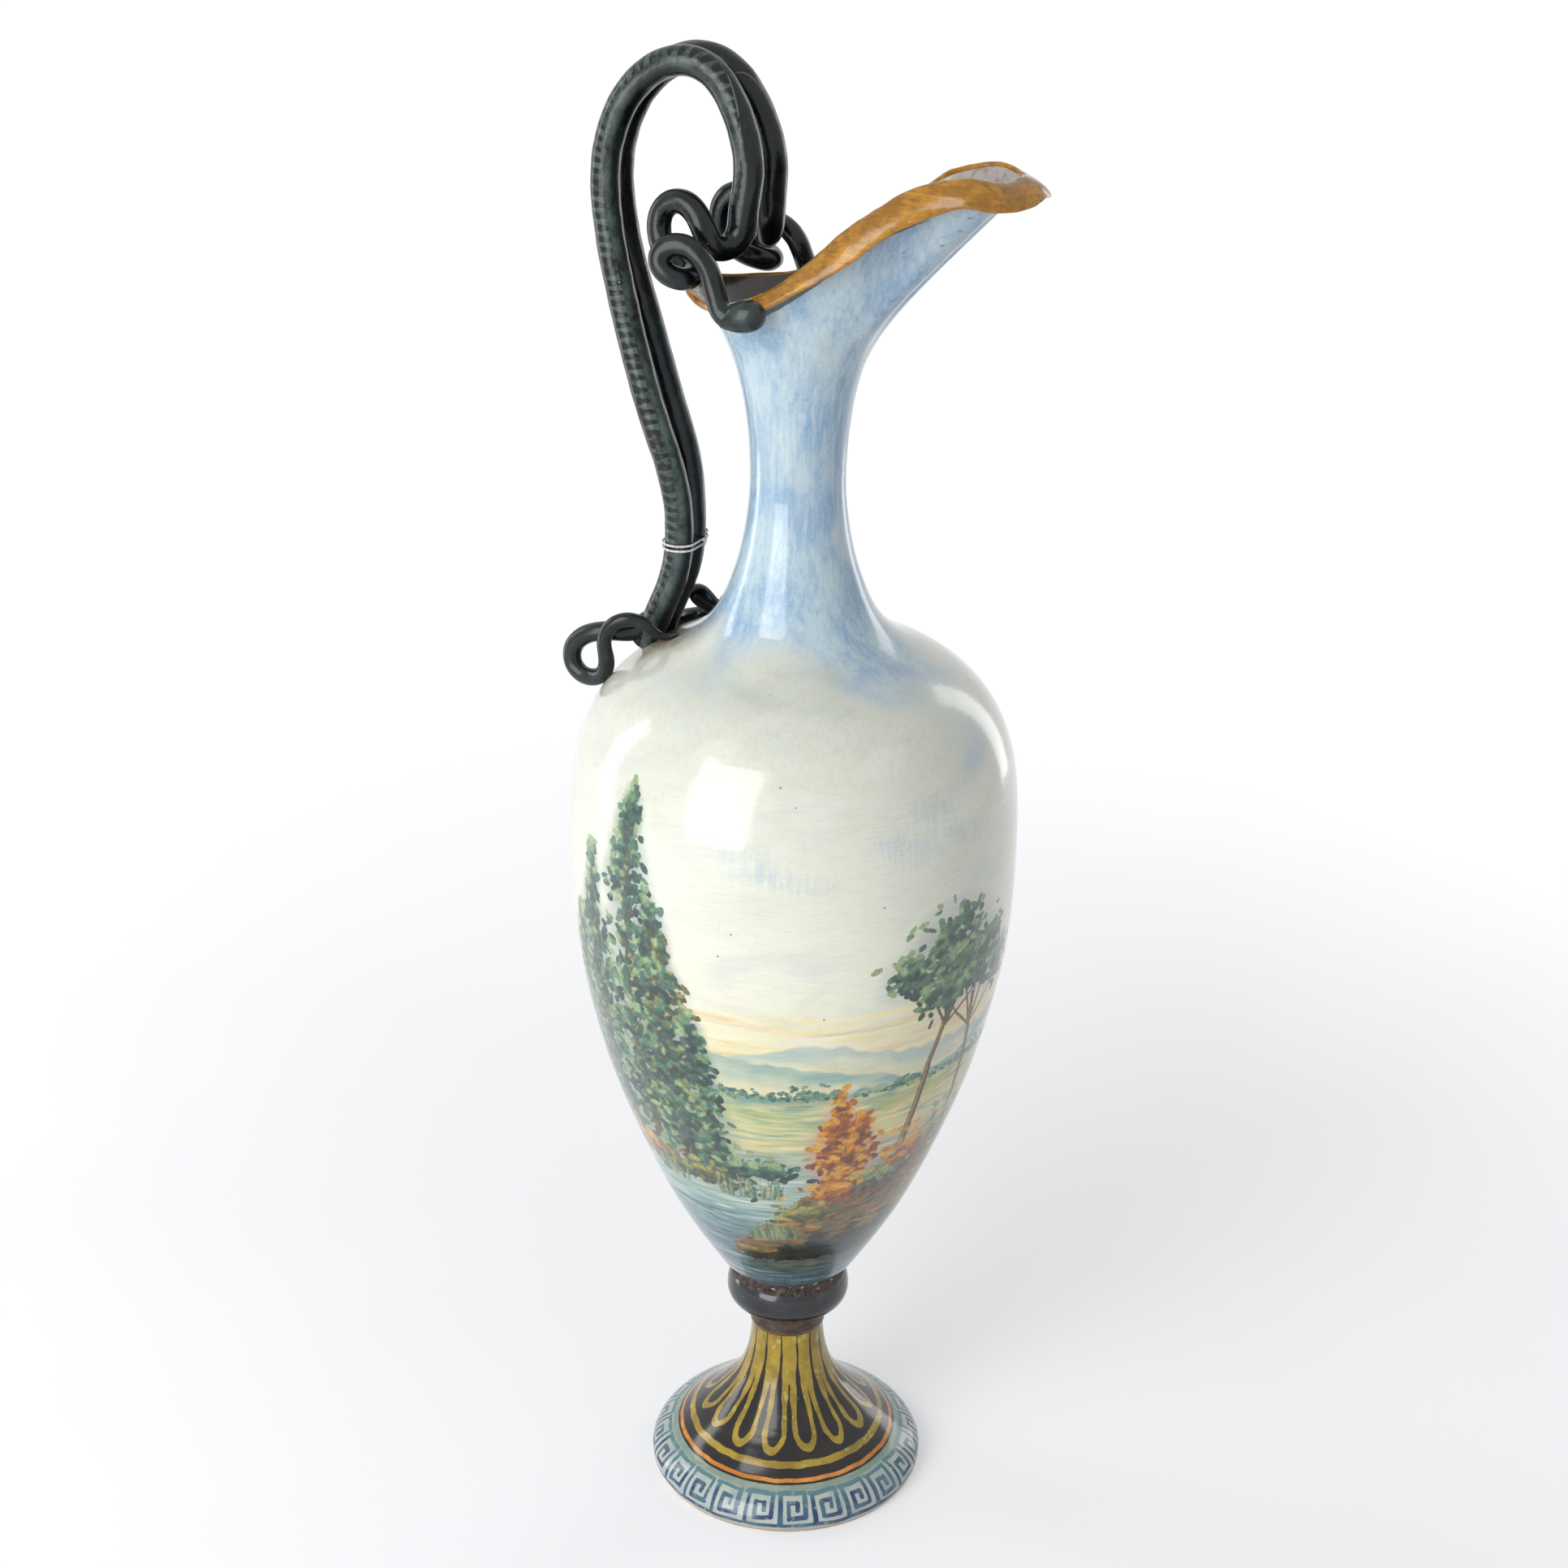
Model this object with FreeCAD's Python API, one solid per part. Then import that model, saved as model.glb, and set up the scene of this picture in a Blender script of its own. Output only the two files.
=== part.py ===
import FreeCAD, Part
import math
import os

from FreeCAD import Vector

# Tall footed ewer of painted tin-glazed earthenware, with a handle of two serpents.
# Millimetres. The origin is the centre of the foot ring on the table, +Z is up.
# +X points along the spout, the handle stands on the -X side, and Y = 0 halves the ewer.
# "near" is the -Y side, "far" is the +Y side.

# Foot
foot_radius = 77.8
foot_height = 92.0
foot_waist_radius = 20.5
foot_wall = 6.5
foot_top_thickness = 8.0
foot_ring_width = 6.0

# Collar and knop
collar_radius = 21.2
collar_waist_radius = 20.0
collar_height = 12.0
knop_radius = 34.4
knop_height = 22.0
knop_neck_radius = 27.5

# Filler in the joint between knop and body
filler_height = 8.0
filler_radius = 31.9

# Body, from the filler to the root of the neck
base_radius = 31.5
belly_radius = 118.0
body_height = 385.0
belly_seam_height = 257.0
neck_root_radius = 42.9
body_floor_thickness = 12.0
wall_at_base = 8.5
wall_at_mouth = 5.0

# Neck, from its root to the seam of the mouth
neck_height = 121.0
neck_radius = 24.5
mouth_seam_radius = 29.7

# Mouth and rim
mouth_height = 38.0
spout_reach = 121.5
back_reach = 58.5
mouth_half_width = 51.0
rim_rise = 73.0
rim_thickness = 5.4
rim_overlap = 1.5

# Serpents
serpent_radius = 7.5
serpent_gap = 0.3
handle_rise = 122.0
handle_foot_lift = 5.1
coil_radius = 6.3
coil_end_radius = 5.3
tail_radius = 6.4
tail_end_radius = 1.5
head_length = 21.0
head_width = 14.0
head_height = 15.5

# Thread tied round both serpents
thread_radius = 0.6
thread_pitch = 2.6
thread_clearance = 0.3
thread_turns = 2

# Tie rod that clamps the foot to the body
rod_radius = 4.0
rod_clearance = 0.6
rod_end_length = 3.0
nut_width = 13.0
nut_height = 6.5
washer_radius = 10.5
washer_thickness = 1.8
gasket_radius = 12.0
gasket_thickness = 3.0
thread_fit = 0.1

# Levels up the axis
collar_level = foot_height
knop_level = collar_level + collar_height
filler_level = knop_level + knop_height
body_level = filler_level + filler_height
belly_seam_level = body_level + belly_seam_height
neck_level = body_level + body_height
mouth_level = neck_level + neck_height
rim_level = mouth_level + mouth_height

# Outline of the foot: shares of the spread beyond the waist, shares of the height
foot_outline_shares = [
    (0.969, 0.0),
    (1.0, 0.095),
    (0.905, 0.172),
    (0.740, 0.237),
    (0.611, 0.308),
    (0.461, 0.391),
    (0.286, 0.500),
    (0.129, 0.630),
    (0.040, 0.783),
    (0.0, 1.0),
]

# Outline of the knop: shares of the swell beyond its neck, shares of its height
knop_outline_shares = [
    (0.0, 0.0),
    (0.55, 0.10),
    (0.90, 0.30),
    (1.0, 0.50),
    (0.96, 0.72),
    (0.82, 0.90),
    (0.66, 1.0),
]

# Outline of the body: shares of the belly radius, shares of the body height
body_outline_shares = [
    (0.310, 0.006),
    (0.353, 0.023),
    (0.438, 0.065),
    (0.552, 0.127),
    (0.648, 0.190),
    (0.756, 0.273),
    (0.849, 0.356),
    (0.918, 0.439),
    (0.965, 0.510),
    (0.991, 0.584),
    (1.0, 0.668),
    (0.993, 0.751),
    (0.964, 0.813),
    (0.914, 0.855),
    (0.824, 0.896),
    (0.753, 0.917),
    (0.654, 0.938),
    (0.525, 0.958),
    (0.424, 0.979),
]

# Outline of the neck: shares of the narrowing from root to waist, shares of the neck height
neck_outline_shares = [
    (0.571, 0.132),
    (0.288, 0.264),
    (0.109, 0.397),
    (0.011, 0.529),
    (0.0, 0.620),
]
neck_flare_shares = [
    (0.154, 0.760),
    (0.480, 0.880),
]

# Rim, from the tip of the spout round one side to the back.
# x is a share of the spout's reach or of the back's, y of the half width, z of the rise.
rim_ridge_shares = [
    (0.905, 0.0, 0.940),
    (0.897, 0.157, 0.925),
    (0.869, 0.294, 0.922),
    (0.815, 0.412, 0.940),
    (0.755, 0.490, 0.957),
    (0.650, 0.539, 0.930),
    (0.551, 0.608, 0.877),
    (0.456, 0.706, 0.774),
    (0.357, 0.784, 0.658),
    (0.255, 0.843, 0.507),
    (0.148, 0.882, 0.349),
    (0.016, 0.882, 0.192),
    (-0.239, 0.824, 0.096),
    (-0.513, 0.667, 0.034),
    (-0.718, 0.431, 0.027),
    (-0.821, 0.216, 0.034),
    (-0.855, 0.0, 0.041),
]
rim_edge_shares = [
    (1.0, 0.0, 0.845),
    (0.990, 0.176, 0.825),
    (0.947, 0.392, 0.800),
    (0.872, 0.549, 0.797),
    (0.782, 0.627, 0.820),
    (0.675, 0.667, 0.781),
    (0.576, 0.745, 0.712),
    (0.480, 0.843, 0.630),
    (0.381, 0.922, 0.501),
    (0.278, 0.980, 0.370),
    (0.168, 1.0, 0.260),
    (0.025, 0.990, 0.123),
    (-0.239, 0.941, 0.041),
    (-0.564, 0.745, 0.041),
    (-0.786, 0.490, 0.055),
    (-0.940, 0.235, 0.082),
    (-1.0, 0.0, 0.096),
]
# Slope of the wall where it meets the rim, as shares of a right angle
rim_slope_shares = [
    0.44, 0.47, 0.53, 0.62, 0.69, 0.73, 0.76, 0.78, 0.78,
    0.78, 0.78, 0.78, 0.76, 0.67, 0.56, 0.51, 0.50,
]
seam_flare_share = 0.20
seam_pull_share = 0.84
rim_pull_share = 0.90
wall_station_shares = [0.0, 0.12, 0.25, 0.38, 0.50, 0.62, 0.74, 0.87, 1.0]
wall_in_rim_share = 0.30

# Distance of the handle's foot from the axis, as a share of the belly radius
handle_foot_share = 0.6695
handle_foot_reach = belly_radius * handle_foot_share

# Arch of one serpent from shoulder to mouth.
# x is a share of the handle foot's reach, y a share of half the spacing of the pair,
# z a share of the height from the foot of the handle to the top of the arch.
arch_shares = [
    (-1.035, 1.0, -0.020),
    (-1.0, 1.0, 0.0),
    (-0.943, 1.0, 0.037),
    (-0.854, 1.0, 0.087),
    (-0.799, 1.0, 0.135),
    (-0.778, 1.0, 0.185),
    (-0.784, 1.08, 0.250),
    (-0.832, 1.35, 0.317),
    (-0.889, 1.49, 0.361),
    (-0.994, 1.55, 0.446),
    (-1.085, 1.49, 0.530),
    (-1.191, 1.22, 0.635),
    (-1.251, 1.08, 0.707),
    (-1.281, 1.0, 0.779),
    (-1.261, 1.0, 0.852),
    (-1.152, 1.0, 0.925),
    (-0.962, 1.0, 0.979),
    (-0.742, 1.15, 1.0),
    (-0.551, 1.28, 0.987),
    (-0.411, 1.49, 0.949),
    (-0.297, 1.76, 0.885),
    (-0.257, 1.96, 0.821),
    (-0.291, 2.23, 0.771),
]

# Coil of the near serpent's neck, after the arch.
# x is a share of the back's reach, y of the mouth's half width,
# z counts serpent radii above the low side of the rim.
coil_shares = [
    (-0.400, 0.325, 5.23),
    (-0.426, 0.365, 4.35),
    (-0.487, 0.457, 3.79),
    (-0.564, 0.567, 3.87),
    (-0.609, 0.631, 4.61),
    (-0.658, 0.631, 5.65),
    (-0.759, 0.604, 6.56),
    (-0.884, 0.588, 6.84),
    (-0.997, 0.588, 6.43),
    (-1.056, 0.588, 5.52),
    (-1.046, 0.608, 4.51),
    (-0.990, 0.647, 3.60),
    (-0.894, 0.692, 2.93),
    (-0.774, 0.710, 2.59),
    (-0.680, 0.794, 2.37),
    (-0.667, 0.922, 2.29),
    (-0.749, 1.016, 2.44),
    (-0.856, 1.035, 2.95),
    (-0.889, 1.027, 3.80),
    (-0.810, 1.004, 4.51),
    (-0.684, 0.984, 4.61),
    (-0.561, 0.980, 4.16),
    (-0.462, 0.980, 3.23),
    (-0.414, 0.984, 2.17),
    (-0.379, 1.000, 1.25),
    (-0.338, 1.024, 0.51),
]
# How far the far coil sits from the near one's mirror image: shares of the back's reach
# and serpent radii, reached after the first few points
far_coil_forward_share = 0.10
far_coil_drop_share = 0.94
far_coil_ramp_points = 10

# Head: the place along the rim as a row number, its offset from the rim's edge in
# serpent radii, and the sections of the lump as shares of its length, width and height.
# The neck joins it behind its middle, at the joint's share of its length.
head_row_share = 11.6
head_offset_shares = (-0.02, 0.51, -0.23)
head_tilt_share = 0.13
head_joint_share = -0.42
head_section_shares = [
    (-0.19, 0.94, 0.94),
    (0.02, 1.0, 1.0),
    (0.22, 0.92, 0.94),
    (0.37, 0.72, 0.74),
    (0.46, 0.45, 0.46),
    (0.50, 0.16, 0.16),
]

# Tails: offsets from the foot of the handle, counted in serpent radii.
# The last value is the share of the way from the tail's radius to its end radius.
near_tail_shares = [
    (0.02, 1.02, 0.85, 0.0),
    (-0.55, 1.32, 0.40, 0.02),
    (-1.26, 1.71, 0.18, 0.10),
    (-2.12, 2.10, 0.22, 0.18),
    (-3.00, 2.37, 0.16, 0.22),
    (-4.05, 2.37, -0.10, 0.24),
    (-5.02, 2.37, -0.74, 0.26),
    (-5.50, 2.37, -1.70, 0.28),
    (-5.30, 2.42, -2.72, 0.30),
    (-4.50, 2.54, -3.34, 0.32),
    (-3.28, 2.76, -3.26, 0.34),
    (-2.32, 3.20, -2.34, 0.40),
    (-2.10, 3.62, -1.14, 0.45),
    (-2.28, 3.82, -0.18, 0.48),
    (-2.02, 3.82, 0.76, 0.50),
    (-1.38, 3.82, 1.48, 0.52),
    (-0.58, 3.68, 1.82, 0.56),
    (0.17, 3.42, 1.72, 0.60),
    (0.78, 3.16, 1.32, 0.66),
    (1.20, 2.89, 0.80, 0.72),
    (1.60, 2.63, 0.46, 0.80),
    (2.12, 2.43, 0.46, 0.90),
    (2.66, 2.26, 0.74, 1.0),
]
far_tail_shares = [
    (0.02, 1.02, 0.85, 0.0),
    (-0.30, 1.45, 0.30, 0.02),
    (-0.60, 2.35, -0.20, 0.10),
    (-0.66, 3.60, -0.62, 0.18),
    (-0.75, 5.00, -1.00, 0.24),
    (-0.20, 6.20, -1.15, 0.30),
    (0.95, 6.65, -0.90, 0.35),
    (1.95, 6.00, -0.25, 0.40),
    (2.10, 4.95, 0.30, 0.45),
    (1.60, 4.15, 0.95, 0.50),
    (1.25, 3.65, 1.60, 0.55),
    (1.55, 3.35, 2.10, 0.60),
    (2.20, 3.20, 2.10, 0.65),
    (2.80, 3.05, 1.65, 0.72),
    (3.35, 2.90, 1.30, 0.80),
    (3.90, 2.70, 1.40, 0.90),
    (4.45, 2.45, 1.80, 1.0),
]

# Height of the thread on the handle, as a share of the handle's height
thread_height_share = 0.165

# Sections from one guide point of a roll to the next, and points round each section
path_stations = 2
ring_points = 12


def mix(low, high, share):
    return low + (high - low) * share


def curve_through(points):
    curve = Part.BSplineCurve()
    curve.interpolate(Points=points)
    return curve


def closed_wire(points):
    curve = Part.BSplineCurve()
    curve.interpolate(Points=points, PeriodicFlag=True)
    return Part.Wire([curve.toShape()])


def oval(centre, right, up):
    points = []
    for index in range(ring_points):
        turn = 2 * math.pi * index / ring_points
        points.append(centre + right * math.cos(turn) + up * math.sin(turn))
    return closed_wire(points)


def revolve(edges):
    face = Part.Face(Part.Wire(edges))
    return face.revolve(Vector(0, 0, 0), Vector(0, 0, 1), 360)


def line(start, end):
    return Part.LineSegment(start, end).toShape()


def at(radius, height):
    return Vector(radius, 0, height)


def save(name, shape):
    shape.exportStep("parts/" + name + ".step")


def slab(low, high):
    half = 2 * belly_radius
    box = Part.makeBox(2 * half, 2 * half, high - low)
    box.translate(Vector(-half, -half, low))
    return box


# Turned pieces of the stem

def foot_points():
    spread = foot_radius - foot_waist_radius
    return [
        at(foot_waist_radius + spread * reach, foot_height * rise)
        for reach, rise in foot_outline_shares
    ]


def make_foot():
    outer = foot_points()
    outline = curve_through(outer)
    hollow_top = foot_height - foot_top_thickness
    inner = [at(outer[0].x - foot_ring_width, 0)]
    for point in outer[3:-1]:
        tangent = outline.tangent(outline.parameter(point))[0]
        normal = Vector(tangent.z, 0, -tangent.x)
        offset = point - normal * foot_wall
        if offset.z < hollow_top - foot_wall / 2:
            inner.append(offset)
    inner.append(at(foot_waist_radius - foot_wall, hollow_top))
    bore = rod_radius + rod_clearance
    edges = [
        outline.toShape(),
        line(outer[-1], at(bore, foot_height)),
        line(at(bore, foot_height), at(bore, hollow_top)),
        line(at(bore, hollow_top), inner[-1]),
        curve_through(inner[::-1]).toShape(),
        line(inner[0], outer[0]),
    ]
    return revolve(edges)


def make_collar():
    bore = rod_radius + rod_clearance
    top = collar_level + collar_height
    profile = [
        at(foot_waist_radius, collar_level),
        at(collar_radius, collar_level + collar_height / 8),
        at(collar_radius, collar_level + collar_height / 4),
        at(collar_waist_radius, top - collar_height / 3),
        at(collar_waist_radius, top),
    ]
    edges = [
        curve_through(profile).toShape(),
        line(profile[-1], at(bore, top)),
        line(at(bore, top), at(bore, collar_level)),
        line(at(bore, collar_level), profile[0]),
    ]
    return revolve(edges)


def knop_points():
    swell = knop_radius - collar_waist_radius
    return [
        at(collar_waist_radius + swell * reach, knop_level + knop_height * rise)
        for reach, rise in knop_outline_shares[:3]
    ] + [
        at(knop_neck_radius + (knop_radius - knop_neck_radius) * reach,
           knop_level + knop_height * rise)
        for reach, rise in knop_outline_shares[3:]
    ]


def make_knop():
    bore = rod_radius + rod_clearance
    profile = knop_points()
    edges = [
        curve_through(profile).toShape(),
        line(profile[-1], at(bore, filler_level)),
        line(at(bore, filler_level), at(bore, knop_level)),
        line(at(bore, knop_level), profile[0]),
    ]
    return revolve(edges)


def make_joint_filler():
    bore = rod_radius + rod_clearance
    knop_top = knop_points()[-1].x
    profile = [
        at(knop_top, filler_level),
        at(filler_radius, filler_level + filler_height / 3),
        at(filler_radius, filler_level + filler_height / 2),
        at(base_radius, body_level),
    ]
    edges = [
        curve_through(profile).toShape(),
        line(profile[-1], at(bore, body_level)),
        line(at(bore, body_level), at(bore, filler_level)),
        line(at(bore, filler_level), profile[0]),
    ]
    return revolve(edges)


# Thrown body and neck: one outline, cut at the seams where the sections were joined

def body_points():
    points = [at(base_radius, body_level)]
    for reach, rise in body_outline_shares:
        points.append(at(belly_radius * reach, body_level + body_height * rise))
    points.append(at(neck_root_radius, neck_level))
    for narrowing, rise in neck_outline_shares:
        radius = mix(neck_radius, neck_root_radius, narrowing)
        points.append(at(radius, neck_level + neck_height * rise))
    for widening, rise in neck_flare_shares:
        radius = mix(neck_radius, mouth_seam_radius, widening)
        points.append(at(radius, neck_level + neck_height * rise))
    points.append(at(mouth_seam_radius, mouth_level))
    return points


def body_inner_points(outline, points):
    floor = body_level + body_floor_thickness
    inner = []
    for point in points[3:-1]:
        share = (point.z - body_level) / (mouth_level - body_level)
        wall = mix(wall_at_base, wall_at_mouth, share)
        tangent = outline.tangent(outline.parameter(point))[0]
        normal = Vector(tangent.z, 0, -tangent.x)
        offset = point - normal * wall
        if offset.z > floor + wall_at_base:
            inner.append(offset)
    floor_edge = at(inner[0].x - wall_at_base * 2, floor)
    return [floor_edge] + inner + [at(mouth_seam_radius - wall_at_mouth, mouth_level)]


def make_thrown_wall():
    points = body_points()
    outline = curve_through(points)
    inner = body_inner_points(outline, points)
    floor = body_level + body_floor_thickness
    bore = rod_radius + rod_clearance
    edges = [
        outline.toShape(),
        line(points[-1], inner[-1]),
        curve_through(inner[::-1]).toShape(),
        line(inner[0], at(bore, floor)),
        line(at(bore, floor), at(bore, body_level)),
        line(at(bore, body_level), points[0]),
    ]
    return revolve(edges)


def make_thrown_blank():
    points = body_points()
    edges = [
        curve_through(points).toShape(),
        line(points[-1], at(0, mouth_level)),
        line(at(0, mouth_level), at(0, body_level)),
        line(at(0, body_level), points[0]),
    ]
    return revolve(edges)


def shoulder_height(radius):
    # height of the outside of the shoulder at a distance from the axis
    points = body_points()
    for lower, upper in zip(points, points[1:]):
        if lower.z > belly_seam_level and upper.x <= radius <= lower.x:
            share = (lower.x - radius) / (lower.x - upper.x)
            return mix(lower.z, upper.z, share)
    return belly_seam_level


# Mouth: a wall drawn from the round seam to the rim

def rim_place(row):
    x_share, y_share, z_share = row
    reach = spout_reach if x_share > 0 else back_reach
    return Vector(reach * x_share, mouth_half_width * y_share, rim_level + rim_rise * z_share)


def rim_rows():
    ridge = [rim_place(row) for row in rim_ridge_shares]
    edge = [rim_place(row) for row in rim_edge_shares]
    return ridge, edge


def tangents(points):
    # direction along a half rim, square to Y = 0 at both ends
    result = [Vector(0, 1, 0)]
    for before, after in zip(points, points[2:]):
        step = after - before
        result.append(step.normalize())
    return result + [Vector(0, -1, 0)]


def wall_meridians():
    ridge, edge = rim_rows()
    top = [low + (high - low) * wall_in_rim_share for low, high in zip(ridge, edge)]
    along = [0.0]
    for before, after in zip(top, top[1:]):
        along.append(along[-1] + before.distanceToPoint(after))
    meridians = []
    for place, distance, tangent, slope in zip(top, along, tangents(top), rim_slope_shares):
        turn = math.pi * distance / along[-1]
        foot = Vector(math.cos(turn), math.sin(turn), 0) * mouth_seam_radius
        foot.z = mouth_level
        flare = Vector(math.cos(turn), math.sin(turn), 0) * seam_flare_share
        flare.z = 1
        outward = Vector(tangent.y, -tangent.x, 0)
        outward.normalize()
        rise = slope * math.pi / 2
        leave = outward * math.cos(rise) + Vector(0, 0, math.sin(rise))
        pull = foot.distanceToPoint(place)
        start = flare.normalize() * pull * seam_pull_share
        end = leave * pull * rim_pull_share
        meridians.append((foot, start, place, end))
    return meridians


def meridian_point(meridian, share):
    foot, start, place, end = meridian
    square = share * share
    cube = square * share
    return (foot * (2 * cube - 3 * square + 1) + start * (cube - 2 * square + share)
            + place * (3 * square - 2 * cube) + end * (cube - square))


def around(rows):
    # the half rows on the far side, then their mirror images back to the start
    mirrored = [Vector(point.x, -point.y, point.z) for point in rows[-2:0:-1]]
    return rows + mirrored


def wall_grid():
    meridians = wall_meridians()
    return [
        around([meridian_point(meridian, share) for meridian in meridians])
        for share in wall_station_shares
    ]


def wall_inner_grid(grid):
    inner = []
    last = len(grid) - 1
    for level, ring in enumerate(grid):
        below = grid[max(level - 1, 0)]
        above = grid[min(level + 1, last)]
        count = len(ring)
        points = []
        for index, point in enumerate(ring):
            across = ring[(index + 1) % count] - ring[index - 1]
            upward = above[index] - below[index]
            normal = across.cross(upward)
            if level == 0:
                normal.z = 0
            points.append(point - normal.normalize() * wall_at_mouth)
        inner.append(points)
    return inner


def make_mouth_wall():
    grid = wall_grid()
    outside = Part.makeLoft([closed_wire(ring) for ring in grid], False, False)
    inside = Part.makeLoft([closed_wire(ring) for ring in wall_inner_grid(grid)], False, False)
    outer_ends = sorted(end_edges(outside), key=lambda edge: edge.CenterOfMass.z)
    inner_ends = sorted(end_edges(inside), key=lambda edge: edge.CenterOfMass.z)
    faces = list(outside.Faces) + list(inside.Faces)
    faces.append(Part.makeRuledSurface(outer_ends[0], inner_ends[0]))
    faces.append(Part.makeRuledSurface(outer_ends[-1], inner_ends[-1]))
    shell = Part.Compound(faces)
    shell.sewShape()
    solid = Part.makeSolid(shell.Shells[0])
    if solid.Volume < 0:
        solid.reverse()
    return solid


def end_edges(surface):
    return [edge for edge in surface.Edges if edge.isClosed()]


# Lip: a flattened roll that follows the rim

def lip_section(ridge, edge, tangent):
    across = edge - ridge
    half = across.Length / 2 + rim_overlap
    across = across - tangent * across.dot(tangent)
    across.normalize()
    thick = tangent.cross(across)
    return oval((ridge + edge) / 2, across * half, thick * (rim_thickness / 2))


def make_lip():
    ridge, edge = rim_rows()
    middle = [(low + high) / 2 for low, high in zip(ridge, edge)]
    sections = [
        lip_section(low, high, tangent)
        for low, high, tangent in zip(ridge, edge, tangents(middle))
    ]
    half = Part.makeLoft(sections, True, False)
    other = half.mirror(Vector(0, 0, 0), Vector(0, 1, 0))
    return half.fuse(other).removeSplitter()


# Serpents: round rolls of clay that follow a path and taper

def guided(points):
    # smooth curve drawn by its guide points, and the place of each of them along it
    curve = Part.BSplineCurve()
    curve.buildFromPoles(points, False, 3)
    spans = len(points) - 3
    marks = []
    for index in range(len(points)):
        nearby = [min(1, max(0, (index + step) / spans)) for step in (-2, -1, 0)]
        marks.append(sum(nearby) / 3)
    return curve, marks


def roll(points, radii, first=0, last=None):
    # round sections carried along a stretch of the path without twist
    path, marks = guided(points)
    last = len(points) - 1 if last is None else last
    stops = []
    for index in range(first, last):
        for step in range(path_stations):
            share = step / path_stations
            stops.append((mix(marks[index], marks[index + 1], share),
                          mix(radii[index], radii[index + 1], share)))
    stops.append((marks[last], radii[last]))
    normal = Vector(0, 1, 0)
    sections = []
    for mark, radius in stops:
        tangent = path.tangent(mark)[0]
        normal = normal - tangent * normal.dot(tangent)
        normal.normalize()
        binormal = tangent.cross(normal)
        sections.append(oval(path.value(mark), normal * radius, binormal * radius))
    return Part.makeLoft(sections, True, False)


def handle_foot():
    height = shoulder_height(handle_foot_reach) + handle_foot_lift
    return Vector(-handle_foot_reach, 0, height)


def arch_height():
    return rim_level + handle_rise - serpent_radius - handle_foot().z


def arch_points(side):
    base = handle_foot()
    rise = arch_height()
    return [
        Vector(
            handle_foot_reach * x_share,
            side * (serpent_radius + serpent_gap / 2) * y_share,
            base.z + rise * z_share,
        )
        for x_share, y_share, z_share in arch_shares
    ]


def coil_points(side):
    points = []
    for index, (x_share, y_share, z_count) in enumerate(coil_shares):
        point = Vector(
            back_reach * x_share,
            side * mouth_half_width * y_share,
            rim_level + serpent_radius * z_count,
        )
        if side > 0:
            point = point + far_coil_shift(index)
        points.append(point)
    points.append(head_place(side) + head_axis() * head_length * head_joint_share)
    return points


def far_coil_shift(index):
    # the shift fades in after the arch, and half of the drop fades out before the head
    entering = min(1, (index + 1) / far_coil_ramp_points)
    leaving = min(1, (len(coil_shares) - index) / far_coil_ramp_points)
    forward = back_reach * far_coil_forward_share * entering
    drop = serpent_radius * far_coil_drop_share * entering * (1 + leaving) / 2
    return Vector(forward, 0, -drop)


def serpent_path(side):
    # the whole roll from the shoulder to the back of the head, with its radii
    arch = arch_points(side)
    coil = coil_points(side)
    taper = [mix(coil_radius, coil_end_radius, index / (len(coil) - 3))
             for index in range(len(coil) - 2)]
    shoulder = [serpent_radius, mix(serpent_radius, coil_radius, 0.5)]
    return arch + coil, [serpent_radius] * len(arch) + shoulder + taper


def make_serpent_body(side):
    points, radii = serpent_path(side)
    return roll(points, radii, 0, len(arch_shares) - 1)


def make_serpent_coil(side):
    points, radii = serpent_path(side)
    return roll(points, radii, len(arch_shares) - 1)


def head_place(side):
    edge = rim_rows()[1]
    row = int(head_row_share)
    place = edge[row] + (edge[row + 1] - edge[row]) * (head_row_share - row)
    forward, outward, upward = [serpent_radius * share for share in head_offset_shares]
    place = place + Vector(forward, outward, upward)
    if side > 0:
        place = place + far_coil_shift(len(coil_shares))
    return Vector(place.x, side * place.y, place.z)


def head_axis():
    tilt = head_tilt_share * math.pi / 2
    return Vector(math.cos(tilt), 0, math.sin(tilt))


def make_serpent_head(side):
    points = serpent_path(side)[0]
    tangent = (points[-1] - points[-2]).normalize()
    sideways = Vector(0, 1, 0)
    right = sideways - tangent * sideways.dot(tangent)
    right.normalize()
    up = tangent.cross(right)
    sections = [oval(points[-1], right * coil_end_radius, up * coil_end_radius)]
    place = head_place(side)
    axis = head_axis()
    upward = axis.cross(sideways)
    for along, width, height in head_section_shares:
        centre = place + axis * head_length * along
        sections.append(oval(
            centre, sideways * (head_width / 2 * width), upward * (head_height / 2 * height)))
    return Part.makeLoft(sections, True, False)


def make_tail(side, rows):
    base = handle_foot()
    points = []
    radii = []
    for forward, sideways, upward, taper in rows:
        offset = Vector(forward, side * sideways, upward) * serpent_radius
        points.append(base + offset)
        radii.append(mix(tail_radius, tail_end_radius, taper))
    return roll(points, radii)


# Thread: one strand wound round both serpents

def quarter(start, leaving, arriving, radius):
    # quarter turn from one direction to another at a right angle to it
    centre = start + arriving * radius
    middle = centre + (leaving - arriving) * (radius / math.sqrt(2))
    end = centre + leaving * radius
    return Part.Arc(start, middle, end).toShape(), end


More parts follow.
